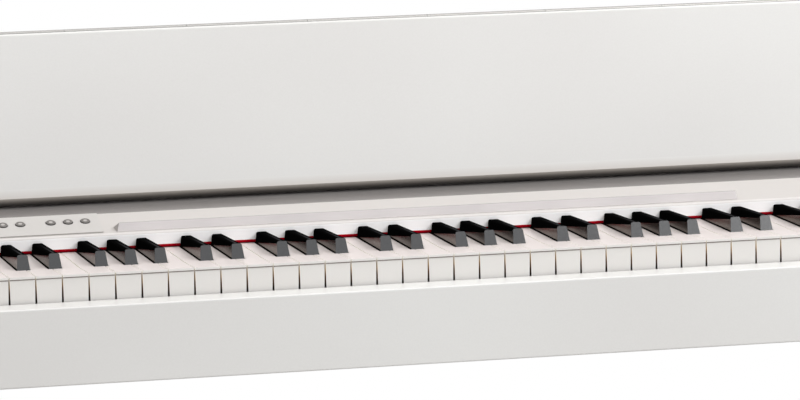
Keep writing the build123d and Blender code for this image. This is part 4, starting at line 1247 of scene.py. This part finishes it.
@dataclass
class Lid:
    """The two leaves of the lid with their long hinge and pivot pins.

    The foot is a quarter round of foot_round. Its face runs on flat until foot_cut is left, and from
    there it curves in, at first by cut_turn. The skirt is the face's last stretch above that line.
    """

    lean: float = math.radians(7)
    thickness: float = 13.0 * MM
    pivot_from_foot: float = 12.6 * MM
    foot_round: float = 12.0 * MM
    foot_slack: float = 0.2 * MM
    foot_cut: float = 5.8 * MM
    cut_turn: float = math.radians(30)
    edge_round: float = 0.6 * MM
    edge_turn: float = math.radians(60)
    crease: float = math.radians(12)
    skirt: float = 8.5 * MM

    def foot(self, bm: Mesh, centre: Vector, up: Vector, ahead: Vector) -> float:
        """Bends the round of the foot: its face runs on flat to a crisp line, and then curves in.

        Args:
            bm: the rear leaf.
            centre: a point on the axis of the round.
            up: the way up the lid.
            ahead: the way that the lid's face looks.

        Returns:
            How far the crisp line is below the centre.
        """
        full = self.foot_round
        arc = {}
        for vert in bm.verts:
            arm = vert.co - centre
            down, out = -arm.dot(up), arm.dot(ahead)
            if down > 0 and out > 0 and abs(math.hypot(down, out) - full) < self.foot_slack:
                arc[vert] = math.atan2(down, out)
        first = min(arc.values(), key=lambda angle: abs(math.tan(angle) - (full - self.foot_cut) / full))
        start = full * math.tan(first)
        radius = (full - start) / (1 - math.sin(self.cut_turn))
        hub = Vector((full - radius, full - radius * math.cos(self.cut_turn)))
        for vert, angle in arc.items():
            down, out = math.sin(angle), math.cos(angle)
            if angle <= first:
                size = full / out
            else:
                along = down * hub.x + out * hub.y
                size = along + math.sqrt(along**2 - hub.length_squared + radius**2)
                size = min(size, full / down)
            bent = centre - down * size * up + out * size * ahead
            vert.co.y, vert.co.z = bent.y, bent.z
        bm.normal_update()
        return start

    def rear_leaf(self) -> None:
        """Shows the rear leaf, with its foot and the last of its face above it in shade."""
        bm = bare_copy("lid_rear_leaf")
        _, _, pivot = span("lid_pivot_pins")
        up = Vector((0, math.sin(self.lean), math.cos(self.lean)))
        ahead = Vector((0, -math.cos(self.lean), math.sin(self.lean)))
        centre = pivot + (self.foot_round - self.pivot_from_foot) * up + (self.thickness / 2 - self.foot_round) * ahead
        line = centre - self.foot(bm, centre, up, ahead) * up
        flatten(bm)
        ease(bm, self.edge_round, 2, lambda edge: edge.calc_face_angle(0) > self.edge_turn)
        score(bm, line + self.skirt * up, up)

        def finish(face: Face) -> Finish:
            """On the face, foot below the line and skirt just above it; plain lacquer elsewhere."""
            height = (face.calc_center_median() - line).dot(up)
            on_face = face.normal.dot(ahead) > HARDLY and abs(face.normal.x) < MOSTLY
            return LID_LIT_LACQUER if not on_face or height > self.skirt else LID_FOOT if height < 0 else LID_SKIRT

        finishes = [LID_LIT_LACQUER, LID_FOOT, LID_SKIRT]
        paint(bm.faces, finishes, finish)
        finished(bm, "lid_rear_leaf", finishes, self.crease)

    def build(self) -> None:
        """Builds the lid."""
        self.rear_leaf()
        eased_board("lid_front_leaf", LID_LIT_LACQUER, 0.8 * MM)
        dress_node("lid_hinge_rear", HINGE)
        dress_node("lid_hinge_front", HINGE)
        dress_node("lid_pivot_pins", STEEL)


# ---- Stand and pedals ------------------------------------------------------------------------------


@dataclass
class Stand:
    """Legs, feet, back board, pedal box, pedals and their bolts."""

    board_round: float = 1.0 * MM
    head_round: float = 0.3 * MM
    socket: float = 1.6 * MM
    socket_wall: float = 0.05 * MM
    disc_height: float = 6.0 * MM
    disc_steps: int = 64
    steps_to_rib: int = 4
    rib: float = 0.9 * MM
    stem_radius: float = 5.0 * MM
    thread_depth: float = 0.6 * MM
    pitch: float = 1.5 * MM

    def bolts(self) -> None:
        """Gives each bolt head a dark drive socket."""
        bm = bare_copy("stand_bolts")
        low, high, _ = span("stand_bolts")

        def outermost(face: Face) -> bool:
            """Whether a face is the flat end of a bolt's head."""
            x = face.calc_center_median().x
            return abs(face.normal.x) > EXACTLY and min(x - low.x, high.x - x) < TOUCH

        heads = [f for f in bm.faces if outermost(f)]
        bmesh.ops.inset_individual(bm, faces=heads, thickness=self.socket)
        bmesh.ops.inset_individual(bm, faces=heads, thickness=self.socket_wall, depth=-self.socket)
        finishes = [STEEL_UP, BLACK]
        paint(heads, finishes, lambda face: BLACK)
        ease(bm, self.head_round, 2, lambda edge: not any(f.material_index for f in edge.link_faces))
        finished(bm, "stand_bolts", finishes)

    def adjuster(self) -> None:
        """A ribbed disc to turn by hand, on a threaded stem."""
        low, high, middle = span("level_adjuster")
        radius, top = (high.x - low.x) / 2, low.z + self.disc_height
        root = self.stem_radius - self.thread_depth
        profile = [(0, low.z), (radius - MM, low.z), (radius, low.z + MM), (radius, top - MM), (radius - MM, top)]
        for turn in range(int((high.z - top - MM) / self.pitch)):
            start = top + turn * self.pitch
            profile += [(root, start), (self.stem_radius, start + self.pitch / 2)]
        bm = turned(profile + [(root, high.z), (0, high.z)], self.disc_steps)
        for vert in bm.verts:
            step = round(math.atan2(vert.co.y, vert.co.x) / (2 * math.pi / self.disc_steps))
            between = step % self.steps_to_rib < self.steps_to_rib / 2
            if between and math.hypot(vert.co.x, vert.co.y) > radius - HAIR:
                vert.co.xy *= 1 - self.rib / radius
        bmesh.ops.translate(bm, vec=(middle.x, middle.y, 0), verts=bm.verts[:])
        bm.normal_update()
        finished(bm, "level_adjuster", [BLACK])

    def build(self) -> None:
        """Builds the stand."""
        for node in ("leg_left", "foot_left", "leg_right", "foot_right", "stand_back_board", "pedal_box"):
            eased_board(node, LACQUER, self.board_round)
        self.bolts()
        dress_node("pedal_rod", STEEL)
        self.adjuster()
        for node in ("soft_pedal", "sostenuto_pedal", "damper_pedal"):
            eased_board(node, BRASS, self.board_round, 3)


# ---- Electronics -----------------------------------------------------------------------------------

# Radius and height in millimetres of a speaker's mouth: dust cap, cone, and the roll round it.
CAP_AND_CONE = ((0, 6.4), (5, 6.8), (9, 8.2), (13, 11.0), (36, 3.2))
ROLL = ((37, 1.8), (38.2, 1.0), (39.8, 1.0), (41, 1.8), (42, 3.2))
# The section of a socket's ring in millimetres: outwards from the jack, and forwards.
JACK_RING = ((0.1, 0), (1.9, 0), (1.9, 0.5), (1.4, 0.9), (0.4, 0.9), (0.1, 0.6))


@dataclass
class Electronics:
    """Speakers, main board and headphone box."""

    flange: float = 2.5 * MM
    roll_depth: float = 3.3 * MM
    magnet_radius: float = 26.0 * MM
    magnet_height: float = 8.0 * MM
    magnet_foot: float = 4.0 * MM
    speaker_steps: int = 64
    jack_radius: float = 3.2 * MM
    jack_pitch: float = 26.0 * MM
    jack_steps: int = 40

    def speakers(self) -> None:
        """Each speaker faces down: a rubber surround, a paper cone and its dust cap, in a black basket."""
        low, high, middle = span("speakers")
        radius, height = (high.y - low.y) / 2, high.z - low.z
        back = height - self.magnet_height
        inner, roll = CAP_AND_CONE[-1][0] * MM, ROLL[-1][0] * MM
        corners = [(r * MM, z * MM) for r, z in CAP_AND_CONE + ROLL]
        corners += [(roll, 0), (radius, 0), (radius, self.flange), (roll + self.flange, self.flange)]
        corners += [(self.magnet_radius + self.magnet_foot, back), (self.magnet_radius, back)]
        corners += [(self.magnet_radius, height), (0, height)]

        def finish(face: Face) -> Finish:
            """Steel magnet at the back, paper and rubber at the mouth, and black basket between."""
            centre = face.calc_center_median()
            reach = math.hypot(centre.x, centre.y)
            if centre.z > back + HAIR and reach < self.magnet_radius + HAIR:
                return STEEL_UP
            if face.normal.z < 0 and reach < inner and centre.z < CAP_AND_CONE[-2][1] * MM:
                return PAPER
            roll_face = reach < roll - HAIR and centre.z < self.roll_depth
            return RUBBER if face.normal.z < 0 and roll_face else BLACK

        parts = []
        finishes = [BLACK, PAPER, RUBBER, STEEL_UP]
        for x in (low.x + radius, high.x - radius):
            part = turned(corners, self.speaker_steps)
            paint(part.faces, finishes, finish)
            bmesh.ops.translate(part, vec=(x, middle.y, low.z), verts=part.verts[:])
            parts.append(part)
        finished(gathered(parts), "speakers", finishes)

    def main_board(self) -> None:
        """Blackens the chips on the board."""
        bm = bare_copy("main_board")
        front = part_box("main_board")[0].y + HAIR
        finishes = [BOARD, BLACK]
        paint(bm.faces, finishes, lambda face: BLACK if min(v.co.y for v in face.verts) < front else BOARD)
        finished(bm, "main_board", finishes)

    def jack_rings(self) -> None:
        """Sets a nickel ring round each headphone socket."""
        low, _, middle = span("headphone_box")
        corners = [(self.jack_radius + out * MM, ahead * MM) for out, ahead in JACK_RING]
        parts = []
        for side in (-1, 1):
            ring = turned(corners, self.jack_steps, ring=True)
            place = Matrix.Translation((middle.x + side * self.jack_pitch / 2, low.y, middle.z))
            bmesh.ops.transform(ring, matrix=place @ Matrix.Rotation(math.pi / 2, 4, "X"), verts=ring.verts[:])
            parts.append(ring)
        finished(gathered(parts), "headphone_box", [STEEL], extra="jack_rings")

    def build(self) -> None:
        """Builds the electronics."""
        self.speakers()
        self.main_board()
        self.jack_rings()
        eased_board("headphone_box", BLACK, 0.6 * MM)


def main() -> None:
    """Builds the studio, then each sub-assembly in order."""
    logging.basicConfig(level=logging.INFO, format="%(name)s: %(message)s", stream=sys.stdout)
    for part in (Studio(), Keyboard(), Cabinet(), ControlPanel(), Lid(), Stand(), Electronics()):
        part.build()


if __name__ == "__main__":
    main()
